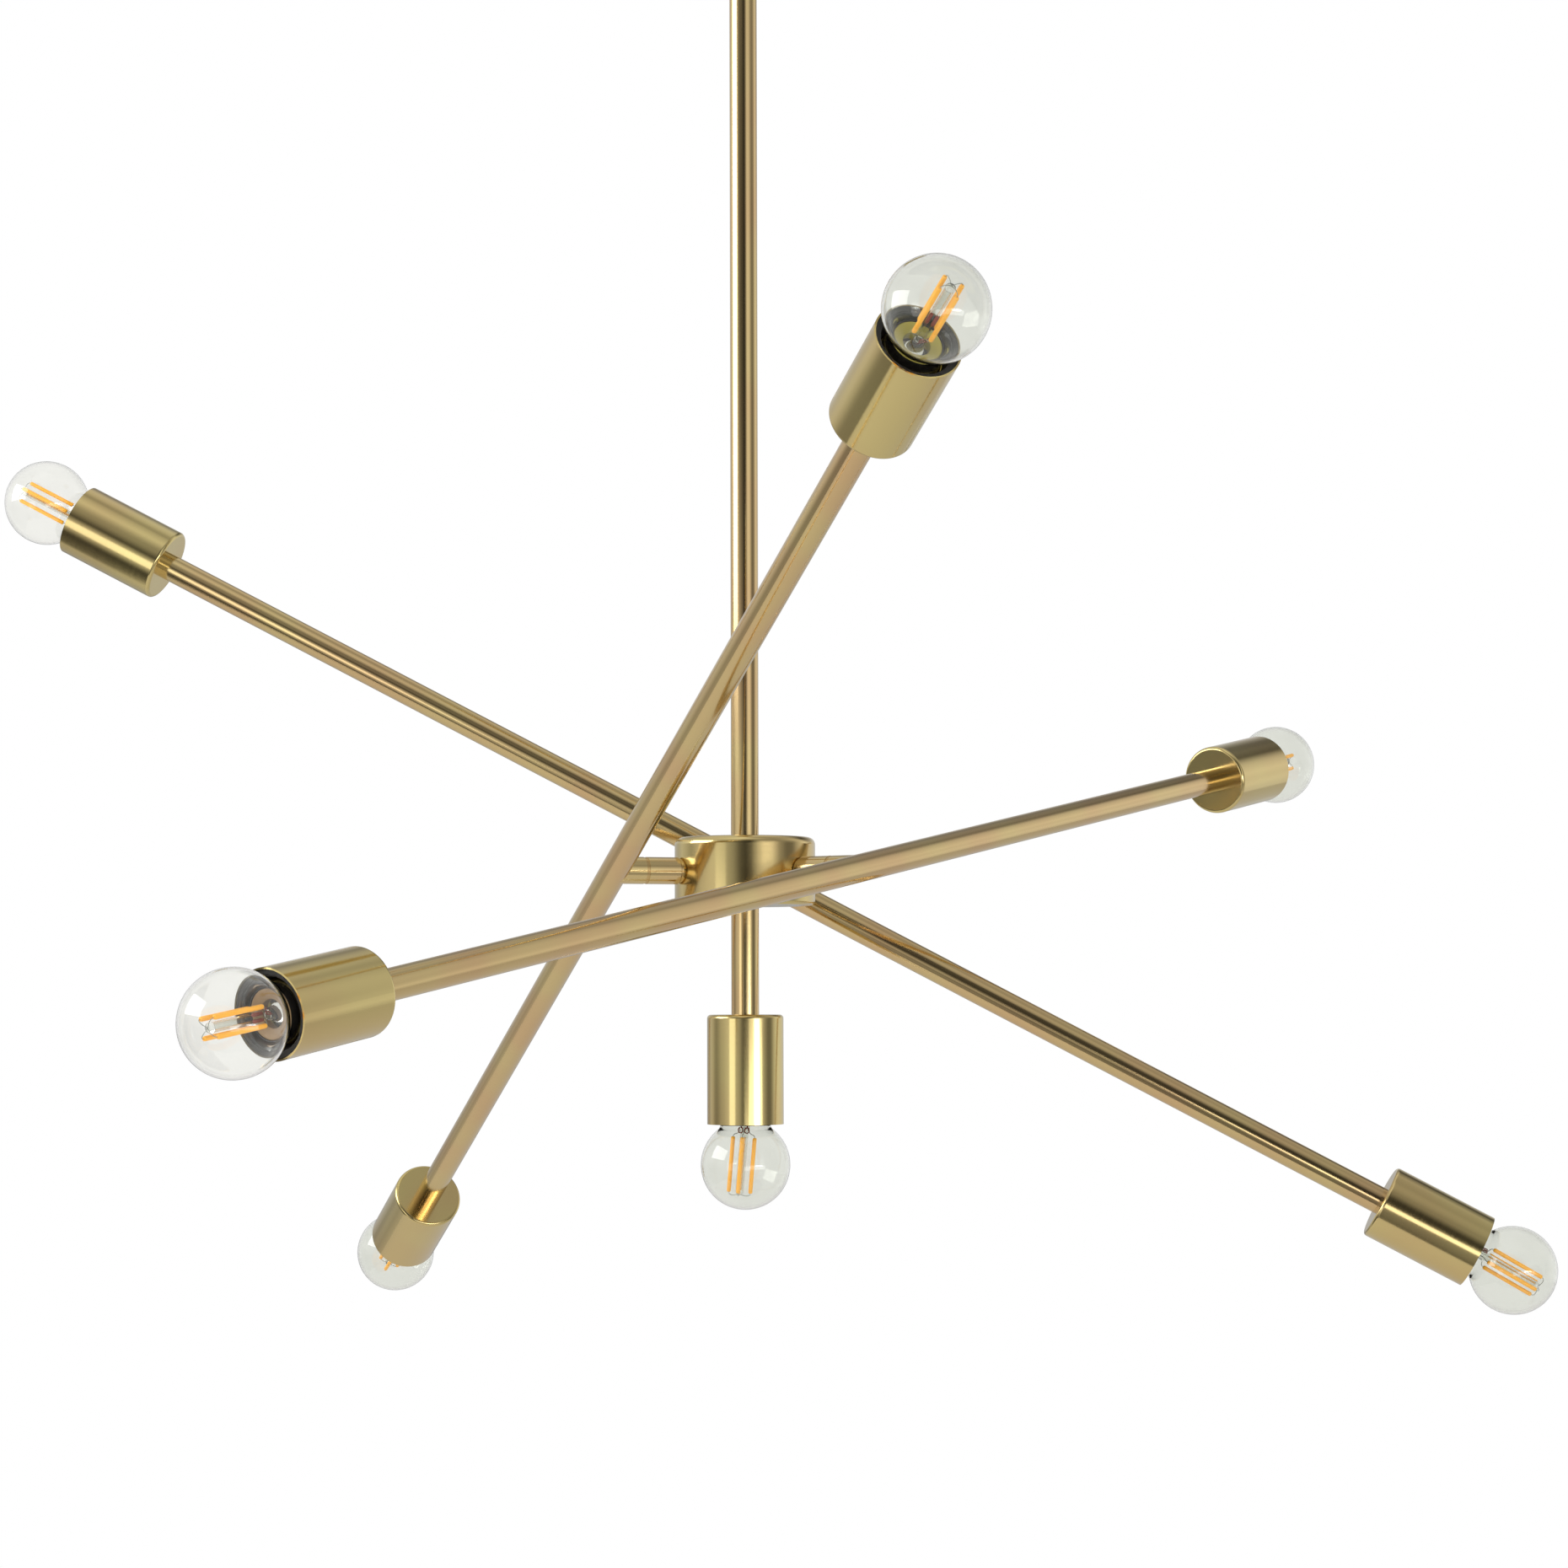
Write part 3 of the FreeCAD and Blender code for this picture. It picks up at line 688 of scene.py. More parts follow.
def walled(piece: Piece, thickness: float) -> Piece:
    """Gives an open wall its thickness on the inside.

    Args:
        piece: The open wall.
        thickness: How thick it becomes.

    Returns:
        The piece, now closed.
    """
    take_up(piece)
    wall = piece.modifiers.new("wall", "SOLIDIFY")
    wall.thickness = thickness * MM
    wall.offset = -1
    bpy.ops.object.modifier_apply(modifier="wall")
    return piece


def fitted_copy(pattern: Piece, name: str, matrix: Matrix, finish: Finish) -> Piece:
    """Copies a piece from the bench to its place.

    Args:
        pattern: The piece on the bench.
        name: The copy's name.
        matrix: Where it goes, as a change of its mesh, so that the object stays at the origin.
        finish: What it wears.

    Returns:
        The copy.
    """
    piece = pattern.copy()
    piece.data = pattern.data.copy()
    piece.name = piece.data.name = name
    bpy.context.scene.collection.objects.link(piece)
    piece.data.transform(matrix)
    piece.data.materials.clear()
    piece.data.materials.append(worn(finish))
    return piece


# Pieces


class Pattern(NamedTuple):
    """One kind of piece, modelled on the bench and copied to every lamp."""

    piece: Piece
    finish: Finish | type[Enum]  # an Enum of finishes is chosen from for each lamp
    slot: str
    stands_for: str  # the CAD node, where {lamp} and {group} are filled in for each lamp
    leans: bool = False  # true for what the glass stem carries


@dataclass(frozen=True)
class LampLook:
    """How one lamp's bulb sits and what it is made of, by the photograph."""

    twist: float  # degrees that the bulb is screwed round
    lean: Span  # degrees that the filaments lean about X and Y
    leads_up: float = 0.0  # how far the lead ends sit above the press
    cement: Cement = Cement.CURED
    glass: Glass = Glass.GREY
    lean_height: float = 52.0  # where the glass stem leans from

    def leaning(self) -> Matrix:
        """How the glass stem and all on it turn and lean with the bulb.

        Returns:
            The move, in the lamp's frame.
        """
        pivot = Matrix.Translation((0, 0, self.lean_height * MM))
        lean_x, lean_y = (Matrix.Rotation(math.radians(a), 4, axis) for a, axis in zip(self.lean, "XY"))
        return pivot @ lean_x @ lean_y @ pivot.inverted() @ Matrix.Rotation(math.radians(self.twist), 4, "Z")


LOOKS = {
    "left_arm_upper": LampLook(14.0, (-0.2, -1.0), leads_up=19.5),
    "left_arm_lower": LampLook(30.0, (0.0, 1.0)),
    "right_arm_upper": LampLook(52.0, (1.0, 0.0)),
    "right_arm_lower": LampLook(-39.0, (-1.0, 1.0), 12.5, Cement.BROWNED, Glass.PALE),
    "rear_arm_upper": LampLook(11.0, (0.0, 1.5), glass=Glass.PALE),
    "rear_arm_lower": LampLook(18.0, (2.5, 0.0)),
    "bottom": LampLook(8.0, (0.0, -4.8)),
}


@dataclass
class Place:
    """Where one lamp sits: its names, its body and its frame."""

    name: str
    group: str
    body: str
    matrix: Matrix


@dataclass
class Bulb:
    """A 45 mm globe bulb with a 26 mm screw cap and four LED filaments.

    Heights are from the back of the lamp cup.
    """

    globe_d: float = 45.0
    globe_centre: float = 75.4
    wall: float = 0.9
    globe_faces: int = 144
    neck_d: float = 25.4
    neck_wall: float = 1.0
    neck_foot: float = 44.3
    cap_tip: float = 25.8
    cap_rim: float = 49.8
    cap_d: float = 26.0
    cap_wall: float = 0.25
    thread_depth: float = 0.95
    cone_length: float = 5.5
    skirt_length: float = 5.0
    press_top: float = 55.5
    press_length: float = 3.0
    press_flat: float = 0.62  # the press's depth as a share of its width
    post_r: float = 2.2
    post_bore_r: float = 1.6
    cement_bore_r: float = 6.2
    cement_gap: float = 1.8  # from the neck's outside in to the cement
    shade_ring_gap: float = 1.2  # and in to the black ring of painted shade
    shade_ring_wall: float = 0.45
    shade_ring_length: float = 8.5
    filament_low: float = 61.6
    filament_high: float = 89.6
    filament_d: float = 2.1
    circle: float = 11.0  # that the filaments stand on
    spider_wire_r: float = 0.16
    foot_wire_r: float = 0.18
    loop_wire_r: float = 0.28
    loop_r: float = 1.2
    loop_centre: tuple[float, float, float] = (1.6, 2.8, 2.9)  # out, to the front and above the press
    lead_r: float = 0.8
    lead_circle_r: float = 2.9
    lead_angles: Span = (18.0, 72.0)

    def envelope(self) -> Piece:
        """The blown globe with its neck: outside up, over the pole, and back down inside.

        Returns:
            The glass as one closed wall.
        """
        outer, inner = self.globe_d / 2, self.globe_d / 2 - self.wall
        neck = self.neck_d / 2
        neck_in = neck - self.neck_wall
        meet = math.degrees(math.asin(neck / outer))
        meet_in = math.degrees(math.asin(neck_in / inner))
        join = self.globe_centre - outer * math.cos(math.radians(meet))
        outside = [(neck_in, self.neck_foot), (neck - 0.8, self.neck_foot), (neck - 0.6, self.cap_rim - 0.1)]
        outside += [(neck, self.cap_rim + 0.5), (neck, join - 1.6), (neck + 0.12, join - 0.7)]
        outside += arc_rings(outer, self.globe_centre, meet + 2.5, 180, 64)
        inside = [(neck_in, self.neck_foot), (neck_in, join - 0.4)]
        inside += arc_rings(inner, self.globe_centre, meet_in + 2.0, 180, 64)
        shell = turned("envelope_outside", outside, self.globe_faces)
        lining = turned("envelope_inside", inside, self.globe_faces)
        with editing(lining):
            bpy.ops.mesh.flip_normals()
        glass = joined("envelope", [shell, lining])
        with editing(glass):
            bpy.ops.mesh.remove_doubles(threshold=TOUCH * MM)
        return smooth(glass, 60)

    def mount_glass(self) -> Piece:
        """The glass inside: flare, the press that holds the wires, and the hollow post with its bead.

        Returns:
            The three as one piece.
        """
        top = self.press_top
        cone = [(0, -8.3), (5.6, -8.1), (5.4, -7.5), (4.6, -6.3), (3.8, -4.5), (3.4, -2.5)]
        press = [(3.2, -0.6), (2.7, 0), (1.6, 0.3), (0, 0.3)]
        flare = turned("flare", cone + press, 32, datum=top)
        for vertex in flare.data.vertices:
            if vertex.co.z > (top - self.press_length) * MM:
                vertex.co.y *= self.press_flat
        wide, bore, foot, end = self.post_r, self.post_bore_r, top + 0.35, self.filament_high - 1.6
        tube = [(bore, foot), (wide, foot), (wide - 0.1, end), (bore - 0.05, end)]
        post = turned("post", tube, 32, closed=True)
        blob = [(0, 0.05), (2.1, 0.1), (2.3, 0.9), (1.8, 1.8), (0.8, 2.3), (0, 2.4)]
        bead = turned("bead", blob, 24, datum=end)
        return smooth(joined("mount_glass", [flare, post, bead]), 50)

    def cement(self) -> Piece:
        """The ring of basing cement that shows down the neck, round the flare.

        Returns:
            The ring.
        """
        out, bore = self.neck_d / 2 - self.cement_gap, self.cement_bore_r
        rings = [(out, 0), (out, 5.0), (out - 0.5, 5.3), (bore + 0.8, 4.3), (bore, 3.6), (bore, 0)]
        return smooth(turned("cement", rings, 64, closed=True, datum=self.neck_foot + 4.7), 40)

    def neck_shade_ring(self) -> Piece:
        """A black ring just inside the neck, put there as painted shade: it stands for the shade down the
        neck and hides the cap from the side.

        Returns:
            The ring of painted shade.
        """
        low, out = self.neck_foot + 1.6, self.neck_d / 2 - self.shade_ring_gap
        high, within = low + self.shade_ring_length, out - self.shade_ring_wall
        rings = [(within, low), (within, high), (out, high + 0.2), (out, low)]
        return smooth(turned("shade_ring", rings, 64, closed=True), 40)

    def filament_places(self) -> Rings:
        """X and Y of the four filaments, from the bulb's axis."""
        reach = self.circle / 2
        return [(reach * math.cos(a), reach * math.sin(a)) for a in (math.radians(90 * k) for k in range(4))]

    def filaments(self) -> Piece:
        """Four coated sticks with rounded ends."""
        end = [(0.6, 0.05), (0.9, 0.35), (1.0, 1.0)]
        span = self.filament_low, self.filament_high
        return rods("filaments", self.filament_d / 2, span, end, self.filament_places())

    def wires(self) -> Piece:
        """The spider at the far end and the four feet.

        Returns:
            All eight wires as one piece.
        """
        runs = []
        top, low = self.filament_high + 1.2, self.filament_low - 1.2
        for x, y in self.filament_places():
            spider = [(0, 0, top - 1.0), (x * 0.4, y * 0.4, top + 0.3), (x, y, top), (x, y, top - 1.6)]
            foot = [(x, y, low + 1.6), (x, y, low), (x * 0.5, y * 0.5, low - 0.6)]
            foot += [(x * 0.42, y * 0.42, low - 3.0), (x * 0.4, y * 0.4, self.press_top - 1.2)]
            runs.append(wire("spider", spider, self.spider_wire_r))
            runs.append(wire("foot", foot, self.foot_wire_r))
        return smooth(joined("bulb_wires", runs), 60)

    def lead_loops(self) -> Piece:
        """Two small loops of enamelled wire that stand on the press.

        Returns:
            Both loops as one piece.
        """
        loops = []
        out, front, up = self.loop_centre
        height, reach = self.press_top + up, self.loop_r
        for side in (-1, 1):
            path = [(side * self.loop_r, 1.0, self.press_top - 1.0)]
            for degrees in range(-90, 271, 45):
                a = math.radians(degrees)
                path.append((side * out + reach * math.cos(a), front, height + reach * math.sin(a)))
            loops.append(wire("loop", path, self.loop_wire_r))
        return smooth(joined("lead_loops", loops), 60)

    def driver_leads(self) -> Piece:
        """Two enamelled lead ends side by side against the post.

        Returns:
            Both ends as one piece, as low as they sit. LampLook says how far up they go.
        """
        span = self.press_top - 6.5, self.press_top - 0.7
        reach = self.lead_circle_r
        places = [(reach * math.cos(a), reach * math.sin(a)) for a in map(math.radians, self.lead_angles)]
        return rods("driver_leads", self.lead_r, span, [(0.75, 0.1), (1.0, 0.5)], places)

    def cap(self) -> Piece:
        """The rolled screw cap: a thread between a plain skirt and a cone.

        Returns:
            The cap without its end.
        """
        crest = self.cap_d / 2 - 0.05
        root = crest - self.thread_depth
        low, high = self.cap_tip + self.cone_length, self.cap_rim - self.skirt_length
        rim, lip = self.cap_rim, crest - 0.8
        thread = helical("cap_thread", bulb_thread(root, crest, low), THREAD_PITCH, 6, low, high)
        skirt_rings = [(root + 0.2, high - 0.4), (crest, high + 0.4), (crest, rim - 0.3), (crest - 0.3, rim)]
        skirt_rings += [(lip, rim), (lip, high - 0.2)]
        cone_rings = [(root + 0.5, low + 0.3), (root - 0.6, low - 0.6)]
        cone_rings += [(9.0, self.cap_tip + 2.6), (8.6, self.cap_tip + 2.9), (root - 1.2, low)]
        skirt = turned("cap_skirt", skirt_rings, 64, closed=True)
        cone = turned("cap_cone", cone_rings, 64, closed=True)
        return smooth(joined("bulb_cap", [walled(thread, self.cap_wall), skirt, cone]), 40)

    def cap_end(self) -> Piece:
        """The black glass that insulates the tip."""
        rings = [(0, 3.2), (9.2, 3.0), (9.0, 2.4), (6.2, 1.0), (4.6, 0.7), (0, 0.7)]
        return smooth(turned("cap_end", rings, 48, datum=self.cap_tip), 50)

    def cap_solder(self) -> Piece:
        """The domed solder of the centre contact."""
        rings = [(0, 0.9), (3.6, 0.9), (3.3, 0.45), (2.0, 0.1), (0, 0)]
        return smooth(turned("cap_solder", rings, 32, datum=self.cap_tip), 60)

    def model(self) -> dict[str, Pattern]:
        """Models one bulb on the bench.

        Returns:
            The pattern of each kind of piece.
        """
        caps, lights = "{group}_bulb_caps", "{group}_filaments"
        return {
            "bulb_glass": Pattern(self.envelope(), Glass, "clear_glass", "{lamp}_globe"),
            "bulb_mount": Pattern(self.mount_glass(), Glass.GREY.value, "clear_glass", "{lamp}_globe", True),
            "basing_cement": Pattern(self.cement(), Cement, "cap_brass", caps),
            "filaments": Pattern(self.filaments(), AMBER, "filament", lights, True),
            "bulb_wires": Pattern(self.wires(), WIRE, "filament", lights, True),
            # painted shade: a black ring in each neck, in the holders' phenolic finish
            "neck_shade_ring": Pattern(self.neck_shade_ring(), PHENOLIC, "black_phenolic", caps),
            "lead_loops": Pattern(self.lead_loops(), ENAMEL, "filament", lights, True),
            "driver_leads": Pattern(self.driver_leads(), ENAMEL, "filament", lights, True),
            "bulb_cap": Pattern(self.cap(), CAP_BRASS, "cap_brass", caps),
            "cap_insulator": Pattern(self.cap_end(), CAP_END, "cap_brass", caps),
            "cap_solder": Pattern(self.cap_solder(), SOLDER, "cap_brass", caps),
        }


@dataclass
class HolderContacts:
    """The pressed screw shell in the well and the riveted centre contact."""

    shell_d: float = 28.1
    shell_low: float = 25.8
    shell_length: float = 20.0
    shell_wall: float = 0.3
    thread_depth: float = 0.75
    well_floor: float = 23.8

    def screw_shell(self) -> Piece:
        """Thin brass with the thread pressed into it.

        Returns:
            The shell.
        """
        crest = self.shell_d / 2
        low, high = self.shell_low, self.shell_low + self.shell_length
        profile = bulb_thread(crest, crest - self.thread_depth, low)
        shell = helical("screw_shell", profile, THREAD_PITCH, 8, low, high)
        return smooth(walled(shell, self.shell_wall), 50)

    def centre_contact(self) -> Piece:
        """A riveted disc with a raised button.

        Returns:
            The contact with its rivet.
        """
        rivet = [(0, -4.5), (4.5, -4.5), (4.5, -3.1), (2.5, -3.0), (2.5, 0)]
        button = [(4.4, 0), (4.5, 0.4), (4.0, 0.7), (2.6, 1.4), (1.4, 1.85), (0, 1.9)]
        return smooth(turned("centre_contact", rivet + button, 40, datum=self.well_floor), 40)

    def model(self) -> dict[str, Pattern]:
        """Models one holder's metal on the bench.

        Returns:
            The pattern of each kind of piece.
        """
        contacts = "{group}_contacts"
        return {
            "screw_shell": Pattern(self.screw_shell(), CONTACT_BRASS, "contact_brass", contacts),
            "centre_contact": Pattern(self.centre_contact(), CONTACT_BRASS, "contact_brass", contacts),
        }


@dataclass
class CanopyStuds:
    """The two threaded studs whose ends show above the canopy."""

    crest_r: float = 1.98
    root_r: float = 1.68
    pitch: float = 0.7
    low: float = -32.0
    high: float = -9.0
    turns: int = 36
    reach: float = 30.0  # from the stem to each stud

    def model(self) -> Piece:
        """Cuts the thread, closes its ends and stands a stud on either side.

        Returns:
            Both studs as one piece.
        """
        crest, root = self.crest_r, self.root_r
        groove = [(crest, 0.0), (root, 0.28), (root, 0.36), (crest, 0.63), (crest, self.pitch)]
        profile = [(radius, height + self.low - self.pitch) for radius, height in groove]
        stud = helical("canopy_stud", profile, self.pitch, self.turns, self.low, self.high)
        for level in (self.low, self.high):
            for vertex in stud.data.vertices:
                vertex.select = abs(vertex.co.z - level * MM) < TOUCH * MM
            bpy.ops.object.mode_set(mode="EDIT")
            bpy.ops.mesh.edge_face_add()
            bpy.ops.mesh.select_all(action="DESELECT")
            bpy.ops.object.mode_set(mode="OBJECT")
        with editing(stud):
            face_out()
        smooth(stud, 30)
        sides = (Matrix.Translation((side * self.reach * MM, 0, 0)) for side in (-1, 1))
        pair = [fitted_copy(stud, "canopy_stud", side, STEEL) for side in sides]
        bpy.data.objects.remove(stud)
        return joined("canopy_studs_threaded", pair)


@dataclass
class Chandelier:
    """The whole light: which finish each node wears, and a dressed lamp in every cup."""

    azimuths: dict[str, float] = field(default_factory=lambda: {"left": 202.0, "right": 323.1, "rear": 83.5})
    rises: dict[str, float] = field(default_factory=lambda: {"left": 29.3, "right": 9.6, "rear": 27.8})
    arm_offset: float = 70.0
    arm_half: float = 361.5
    hub_half: float = 17.25
    lower_stem: float = 54.9

    def arm_frame(self, side: str) -> Matrix:
        """The arm's frame: X along the swivel axis, Y along the arm to its upper lamp.

        Args:
            side: The arm's side.

        Returns:
            The frame, at rest.
        """
        hub = Matrix.Translation((0, 0, -DROP * MM))
        swivel = Matrix.Rotation(math.radians(self.azimuths[side]), 4, "Z")
        return hub @ swivel @ Matrix.Rotation(math.radians(self.rises[side]), 4, "X")

    def lamp_places(self) -> list[Place]:
        """Every lamp's frame, with Z out of its cup.

        Returns:
            The six lamps of the arms and then the bottom one.
        """
        places = []
        for side in self.azimuths:
            arm = f"{side}_arm"
            for end in End:
                out = Matrix.Translation((self.arm_offset * MM, end.value * self.arm_half * MM, 0))
                matrix = self.arm_frame(side) @ out @ Matrix.Rotation(math.radians(-90 * end.value), 4, "X")
                places.append(Place(f"{arm}_{end.name.lower()}", arm, arm, matrix))
        low = Matrix.Translation((0, 0, -(DROP + self.hub_half + self.lower_stem) * MM))
        places.append(Place("bottom", "bottom", "fixture", low @ Matrix.Rotation(math.pi, 4, "X")))
        return places

    def dress_nodes(self) -> None:
        """Gives every CAD node its finish."""
        hub = Matrix.Translation((0, 0, -DROP * MM))
        spun = SPUN_BRASS.material("brass_spun_satin_upright", hub, Axis.Z, Grain.SPUN)
        drawn = DRAWN_BRASS.material("brass_drawn_satin_upright", hub, Axis.Z, Grain.DRAWN)
        brasses = {name: spun for name in frame["nodes"]}
        brasses["stem_tube"] = brasses["lower_stem"] = drawn
        for side in self.azimuths:
            place = self.arm_frame(side)
            cup = SPUN_BRASS.material(f"brass_spun_satin_{side}_arm", place, Axis.Y, Grain.SPUN)
            pivot = DRAWN_BRASS.material(f"brass_turned_satin_{side}_swivel", place, Axis.X, Grain.SPUN)
            tube = DRAWN_BRASS.material(f"brass_drawn_satin_{side}_arm", place, Axis.Y, Grain.DRAWN)
            brasses[f"{side}_arm_tube"] = tube
            brasses[f"{side}_arm_swivel_sleeve"] = brasses[f"{side}_swivel_spigot"] = pivot
            brasses.update({f"{side}_arm_{end.name.lower()}_cup": cup for end in End})
        slots = {row["node"]: row["material_slot"] for row in frame["record"]["subparts"]}
        for name, node in frame["nodes"].items():
            plain = PLAIN_SLOTS.get(slots[name])
            finish = worn(plain) if plain else brasses[name]
            node.data.materials.clear()
            node.data.materials.append(finish)
            log.info("%s wears %s", name, finish.name)

    def fit_studs(self) -> None:
        """Fits the two canopy studs with their thread."""
        studs = CanopyStuds().model()
        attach(studs, "fixture")
        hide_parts("canopy_studs")
        log.info("%s ride on fixture", studs.name)

    def fit_lamps(self) -> None:
        """Models a bulb and a holder's metal once, and fits a copy of each piece in every cup."""
        patterns = {**Bulb().model(), **HolderContacts().model()}
        for pattern, *_ in patterns.values():
            spots = pattern.data.attributes.new(BENCH, "FLOAT_VECTOR", "POINT")
            spots.data.foreach_set("vector", [c / MM for vertex in pattern.data.vertices for c in vertex.co])
        for place in self.lamp_places():
            look = LOOKS[place.name]
            chosen = {Glass: look.glass.value, Cement: look.cement.value}
            for kind, (pattern, finish, slot, stands_for, leans) in patterns.items():
                matrix = place.matrix @ look.leaning() if leans else place.matrix
                if kind == "driver_leads":
                    matrix = matrix @ Matrix.Translation((0, 0, look.leads_up * MM))
                piece = fitted_copy(pattern, f"{place.name}_{kind}", matrix, chosen.get(finish, finish))
                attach(piece, place.body)
                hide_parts(stands_for.format(lamp=place.name, group=place.group))
                log.info("%s rides on %s", piece.name, place.body)
        for pattern, *_ in patterns.values():
            bpy.data.objects.remove(pattern)


# Studio


# How bright the room looks to metal: for each height in degrees, levels by degrees to the right
# of the camera. One is the white wall. The front is dim, with pale walls at the sides.
ROOM = {
    -34: {-180: 0.7, -140: 0.5, -115: 0.52, -101: 0.15, -60: 0.06, -48: 0.1, -38: 0.3, -22: 0.15, -8: 0.47,
        108: 0.42, 125: 0.6, 180: 0.7},
    -20: {-180: 0.55, -130: 0.36, -119: 0.45, -105: 0.2, -60: 0.12, -48: 0.5, -36: 0.72, -26: 0.4,
        -19: 0.08, -8: 0.35, 60: 0.4, 105: 0.45, 130: 0.74, 180: 0.55},
    -8: {-180: 0.3, -140: 0.26, -126: 0.56, -117: 0.5, -104: 0.12, -88: 0.06, -68: 0.25, -50: 0.7, -32: 0.8,
        -18: 0.62, -8: 0.25, 0: 0.12, 12: 0.7, 22: 0.95, 50: 0.95, 60: 0.5, 70: 0.18, 82: 0.17, 92: 0.55,
        101: 0.78, 118: 0.88, 150: 0.7, 180: 0.3},
    2: {-180: 0.5, -140: 0.5, -125: 0.65, -110: 0.5, -98: 0.35, -78: 0.65, -55: 0.78, -42: 0.68, -20: 0.4,
        -8: 0.12, 2: 0.03, 11: 0.12, 21: 0.6, 32: 0.95, 45: 0.95, 58: 0.4, 72: 0.19, 84: 0.2, 94: 0.5,
        103: 0.74, 118: 0.85, 150: 0.7, 180: 0.5},
    11: {-180: 0.7, -140: 0.6, -110: 0.95, -56: 1.0, -44: 0.25, -30: 0.07, -10: 0.05, 10: 0.02, 18: 0.3,
        28: 0.9, 48: 0.85, 60: 0.38, 75: 0.22, 88: 0.3, 108: 0.86, 118: 0.95, 132: 0.6, 180: 0.7},
    35: {-180: 0.25, -120: 0.6, -60: 0.6, -12: 0.45, -2: 0.12, 10: 0.08, 20: 0.3, 60: 0.33, 98: 0.62,
        116: 0.6, 127: 0.1, 150: 0.04, 165: 0.18, 180: 0.25},
    58: {-180: 0.75, -90: 0.7, -10: 0.95, 20: 0.65, 48: 0.5, 65: 0.4, 110: 0.45, 150: 0.68, 180: 0.75},
}


@dataclass(frozen=True)
class Softbox:
    """A soft rectangular lamp that looks at the hub."""

    name: str
    azimuth: float  # degrees to the right of the camera, as seen from the hub
    elevation: float  # degrees above level
    distance: float  # metres from the hub
    size: Span  # metres
    glow: float  # brightness of its face, where one is a lit white wall

    def hang(self, target: tuple[float, float, float]) -> None:
        """Hangs the lamp.

        Args:
            target: Where the hub is, in metres.
        """
        a, e = math.radians(self.azimuth), math.radians(self.elevation)
        out = Vector((math.sin(a) * math.cos(e), -math.cos(a) * math.cos(e), math.sin(e)))
        place = Vector(target) + out * self.distance
        lamp = added(self.name, bpy.ops.object.light_add, type="AREA", location=place)
        lamp.rotation_mode = "QUATERNION"
        lamp.rotation_quaternion = out.to_track_quat("Z", "Y")
        lamp.data.shape = "RECTANGLE"
        lamp.data.size, lamp.data.size_y = self.size
        lamp.data.energy = self.glow * math.pi * self.size[0] * self.size[1]
        lamp.visible_camera = False


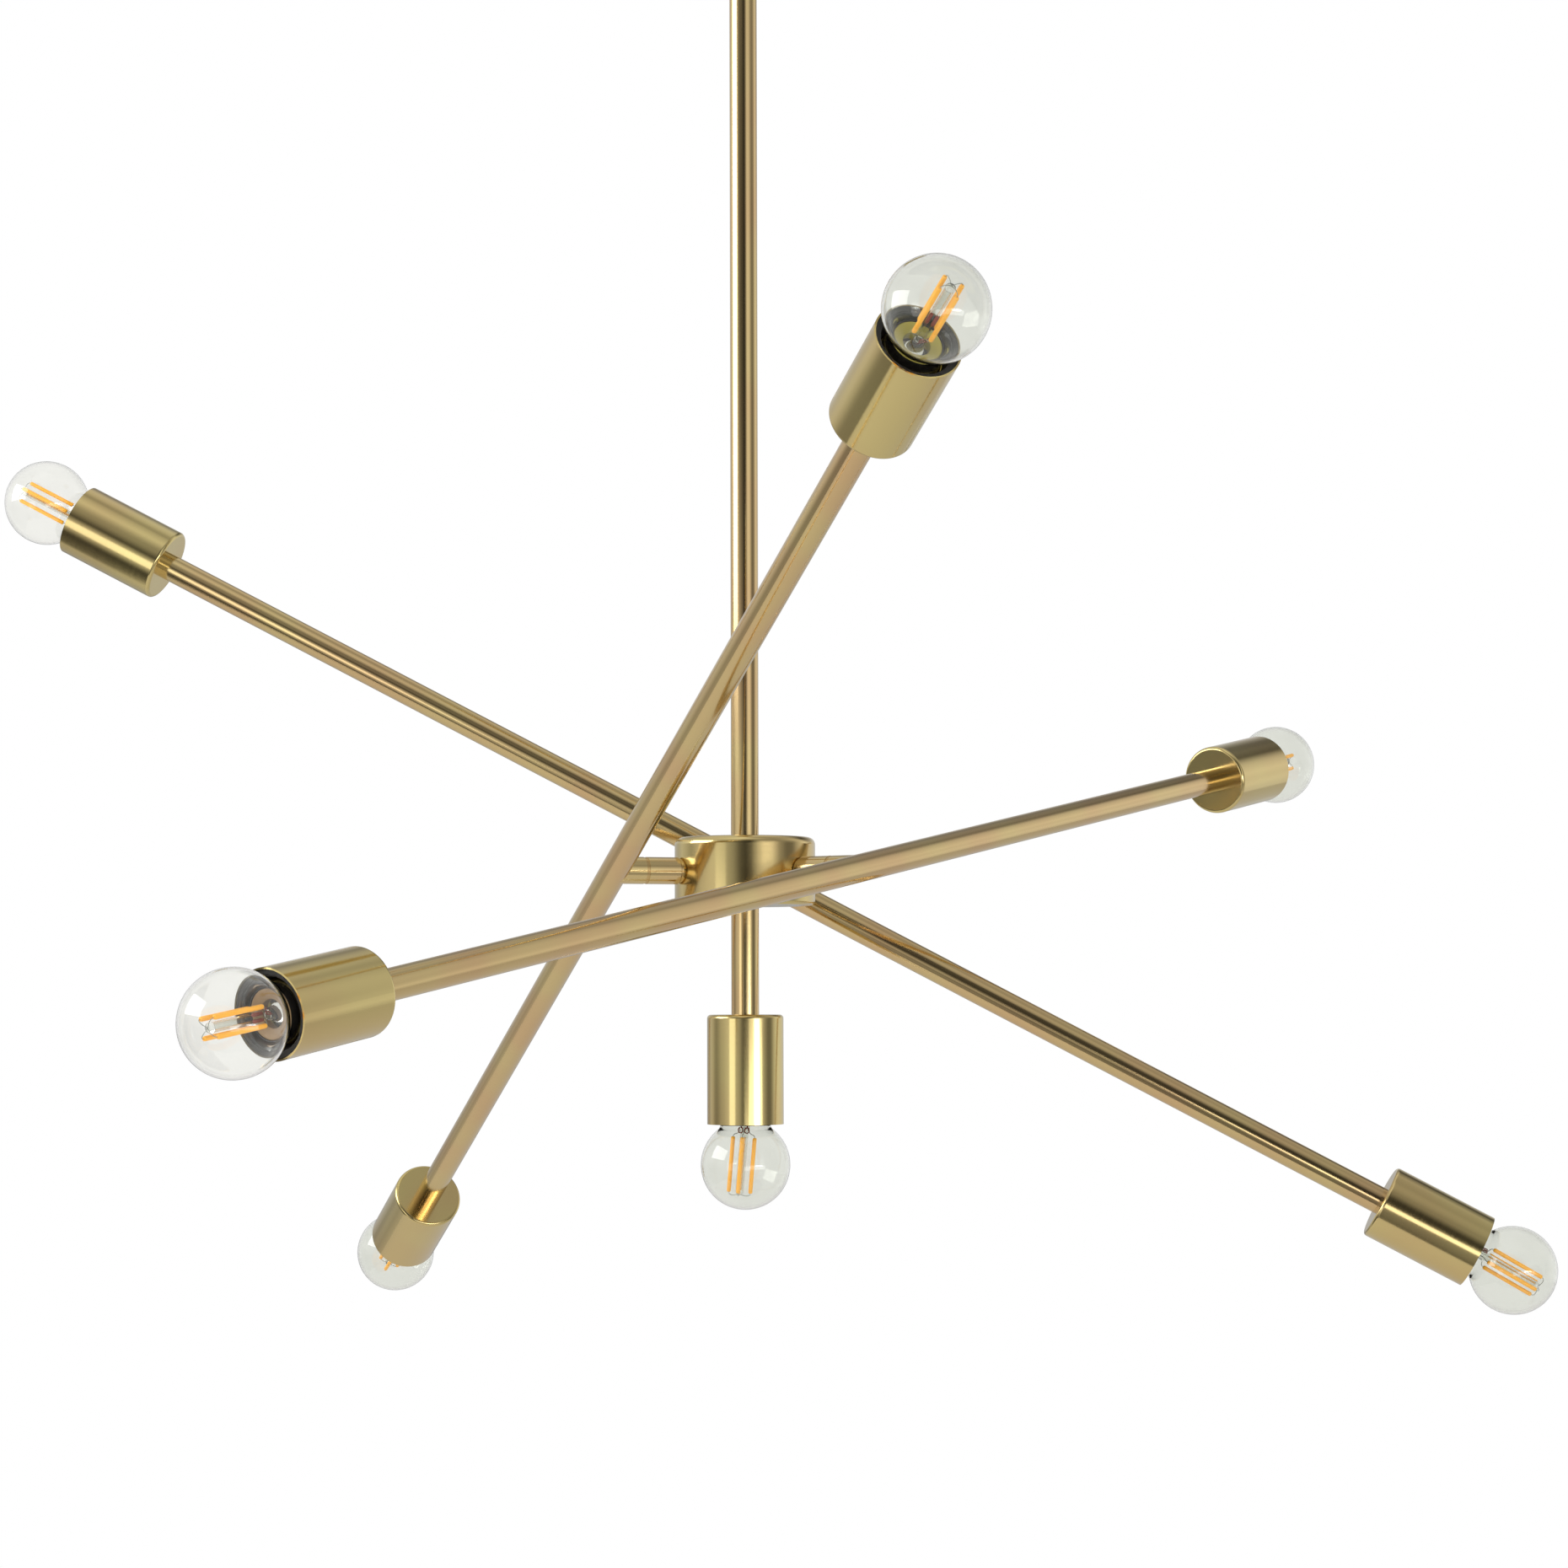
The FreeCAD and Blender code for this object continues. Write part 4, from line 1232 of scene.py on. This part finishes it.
@dataclass
class Studio:
    """Pale floor, soft lamps, the room as metal sees it, and the camera. Lengths are metres."""

    lens: float = 81.96
    sensor: float = 36.0
    clip: Span = (0.05, 60.0)
    yaw: float = 0.631
    pitch: float = 3.368
    roll: float = -0.165
    eye: tuple[float, float, float] = (0.0, -1.80498, -0.57186)
    target: tuple[float, float, float] = (0.0, 0.0, -0.51)
    floor_middle: tuple[float, float, float] = (1.3, 2.175, -1.95)
    floor_size: Span = (6.4, 6.65)
    floor_lift: float = 0.35  # added to the floor as the camera sees it
    room_light: float = 0.58  # that matt pieces get from the room
    lamps: tuple[Softbox, ...] = (
        Softbox("left_window", -80, 21, 2.4, (1.9, 1.05), 3.4),
        Softbox("low_left_panel", -40, -7, 2.5, (0.8, 0.75), 0.9),
        Softbox("front_low_softbox", 5, -10.5, 2.5, (0.7, 0.46), 1.9),
        Softbox("right_softbox", 31, -8, 2.5, (1.85, 0.45), 1.9),
        Softbox("right_strip", 35, -4, 2.45, (0.75, 0.16), 6.0),
    )

    def camera(self) -> None:
        """Places the camera where the photograph was taken from."""
        camera = added("photograph_camera", bpy.ops.object.camera_add)
        camera.data.lens = self.lens
        camera.data.sensor_width = self.sensor
        camera.data.sensor_fit = "HORIZONTAL"
        camera.data.clip_start, camera.data.clip_end = self.clip
        turns = ((-self.yaw, "Z"), (90 + self.pitch, "X"), (self.roll, "Z"))
        yaw, pitch, roll = (Matrix.Rotation(math.radians(degrees), 4, axis) for degrees, axis in turns)
        camera.matrix_world = Matrix.Translation(self.eye) @ yaw @ pitch @ roll
        bpy.context.scene.camera = camera

    def floor(self) -> None:
        """Lays a pale matt floor. The camera and glass see it a little lifted, so that it reads white."""
        grid = {"x_subdivisions": 8, "y_subdivisions": 8, "size": 1, "location": self.floor_middle}
        floor = added("floor", bpy.ops.mesh.primitive_grid_add, **grid)
        floor.scale = (*self.floor_size, 1.0)
        bpy.ops.object.transform_apply()
        made, tree = new_material("matt_painted_floor_pale")
        where = add_node(tree, "TexCoord").outputs["Object"]
        colour = blend_colours(tree, noise(tree, where, 6.0), "#F2F0EF", "#F5F3F2")
        paint = add_node(tree, "BsdfDiffuse", {"Color": colour}).outputs[0]
        lift = {"Color": linear("#FFFFFF"), "Strength": self.floor_lift}
        lit = add_node(tree, "Emission", lift).outputs[0]
        dark = add_node(tree, "Emission", {"Strength": 0.0}).outputs[0]
        seen = mix_shaders(tree, self.clear_rays(tree), dark, lit)
        show(tree, add_node(tree, "AddShader", {0: paint, 1: seen}).outputs[0])
        floor.data.materials.append(made)

    def clear_rays(self, tree: Tree) -> Socket:
        """A socket that is one for camera rays and for rays through glass."""
        ray = add_node(tree, "LightPath").outputs
        return worked_out(tree, "MAXIMUM", ray["Is Camera Ray"], ray["Is Transmission Ray"])

    def belt(self, tree: Tree, turn: Socket, levels: dict[int, float]) -> Socket:
        """One belt of the room: its brightness by how far round it is.

        Args:
            tree: The world's tree.
            turn: How far round, from 0 to 1, behind the camera's subject to behind it again.
            levels: Brightness by degrees to the camera's right.

        Returns:
            The belt's colour socket.
        """
        ramp = add_node(tree, "ValToRGB", {0: turn})
        stops = ramp.color_ramp.elements
        for index, (degrees, level) in enumerate(levels.items()):
            stop = stops[index] if index < 2 else stops.new(1.0)
            stop.position = (degrees + 180) / 360
            stop.color = (level, level, level, 1.0)
        return ramp.outputs[0]

    def sky(self, tree: Tree, colour: Socket | tuple[float, ...], strength: float) -> Socket:
        """A background of one colour or pattern."""
        return add_node(tree, "Background", {"Color": colour, "Strength": strength}).outputs[0]

    def world(self) -> None:
        """White to the camera and through glass. Metal sees the room."""
        world = bpy.data.worlds.new("studio_room")
        bpy.context.scene.world = world
        world.use_nodes = True
        tree = world.node_tree
        tree.nodes.clear()
        way = add_node(tree, "TexCoord").outputs["Generated"]
        part = add_node(tree, "SeparateXYZ", {0: way}).outputs
        about = worked_out(tree, "ARCTAN2", part["X"], worked_out(tree, "MULTIPLY", part["Y"], -1.0))
        turn = map_range(tree, about, (-math.pi, math.pi))
        room, below = None, -1.0
        for height, levels in ROOM.items():
            this = self.belt(tree, turn, levels)
            rise = math.sin(math.radians(height))
            if room:
                share = map_range(tree, part["Z"], (below, rise))
                mixed = {0: share, 6: room, 7: this}
                this = add_node(tree, "Mix", mixed, data_type="RGBA").outputs[2]
            room, below = this, rise
        white = linear("#FFFFFF")
        glossy = add_node(tree, "LightPath").outputs["Is Glossy Ray"]
        soft, mirrored = self.sky(tree, white, self.room_light), self.sky(tree, room, 1.0)
        lit = mix_shaders(tree, glossy, soft, mirrored)
        seen = mix_shaders(tree, self.clear_rays(tree), lit, self.sky(tree, white, 1.0))
        show(tree, seen, "OutputWorld")

    def build(self) -> None:
        """Sets the stage."""
        self.camera()
        self.floor()
        self.world()
        for lamp in self.lamps:
            lamp.hang(self.target)
        bpy.context.scene.view_settings.view_transform = "Standard"


def main() -> None:
    """Builds the looks in order."""
    logging.basicConfig(level=logging.INFO, format="%(message)s")
    Studio().build()
    light = Chandelier()
    light.dress_nodes()
    light.fit_studs()
    light.fit_lamps()


if __name__ == "__main__":
    main()
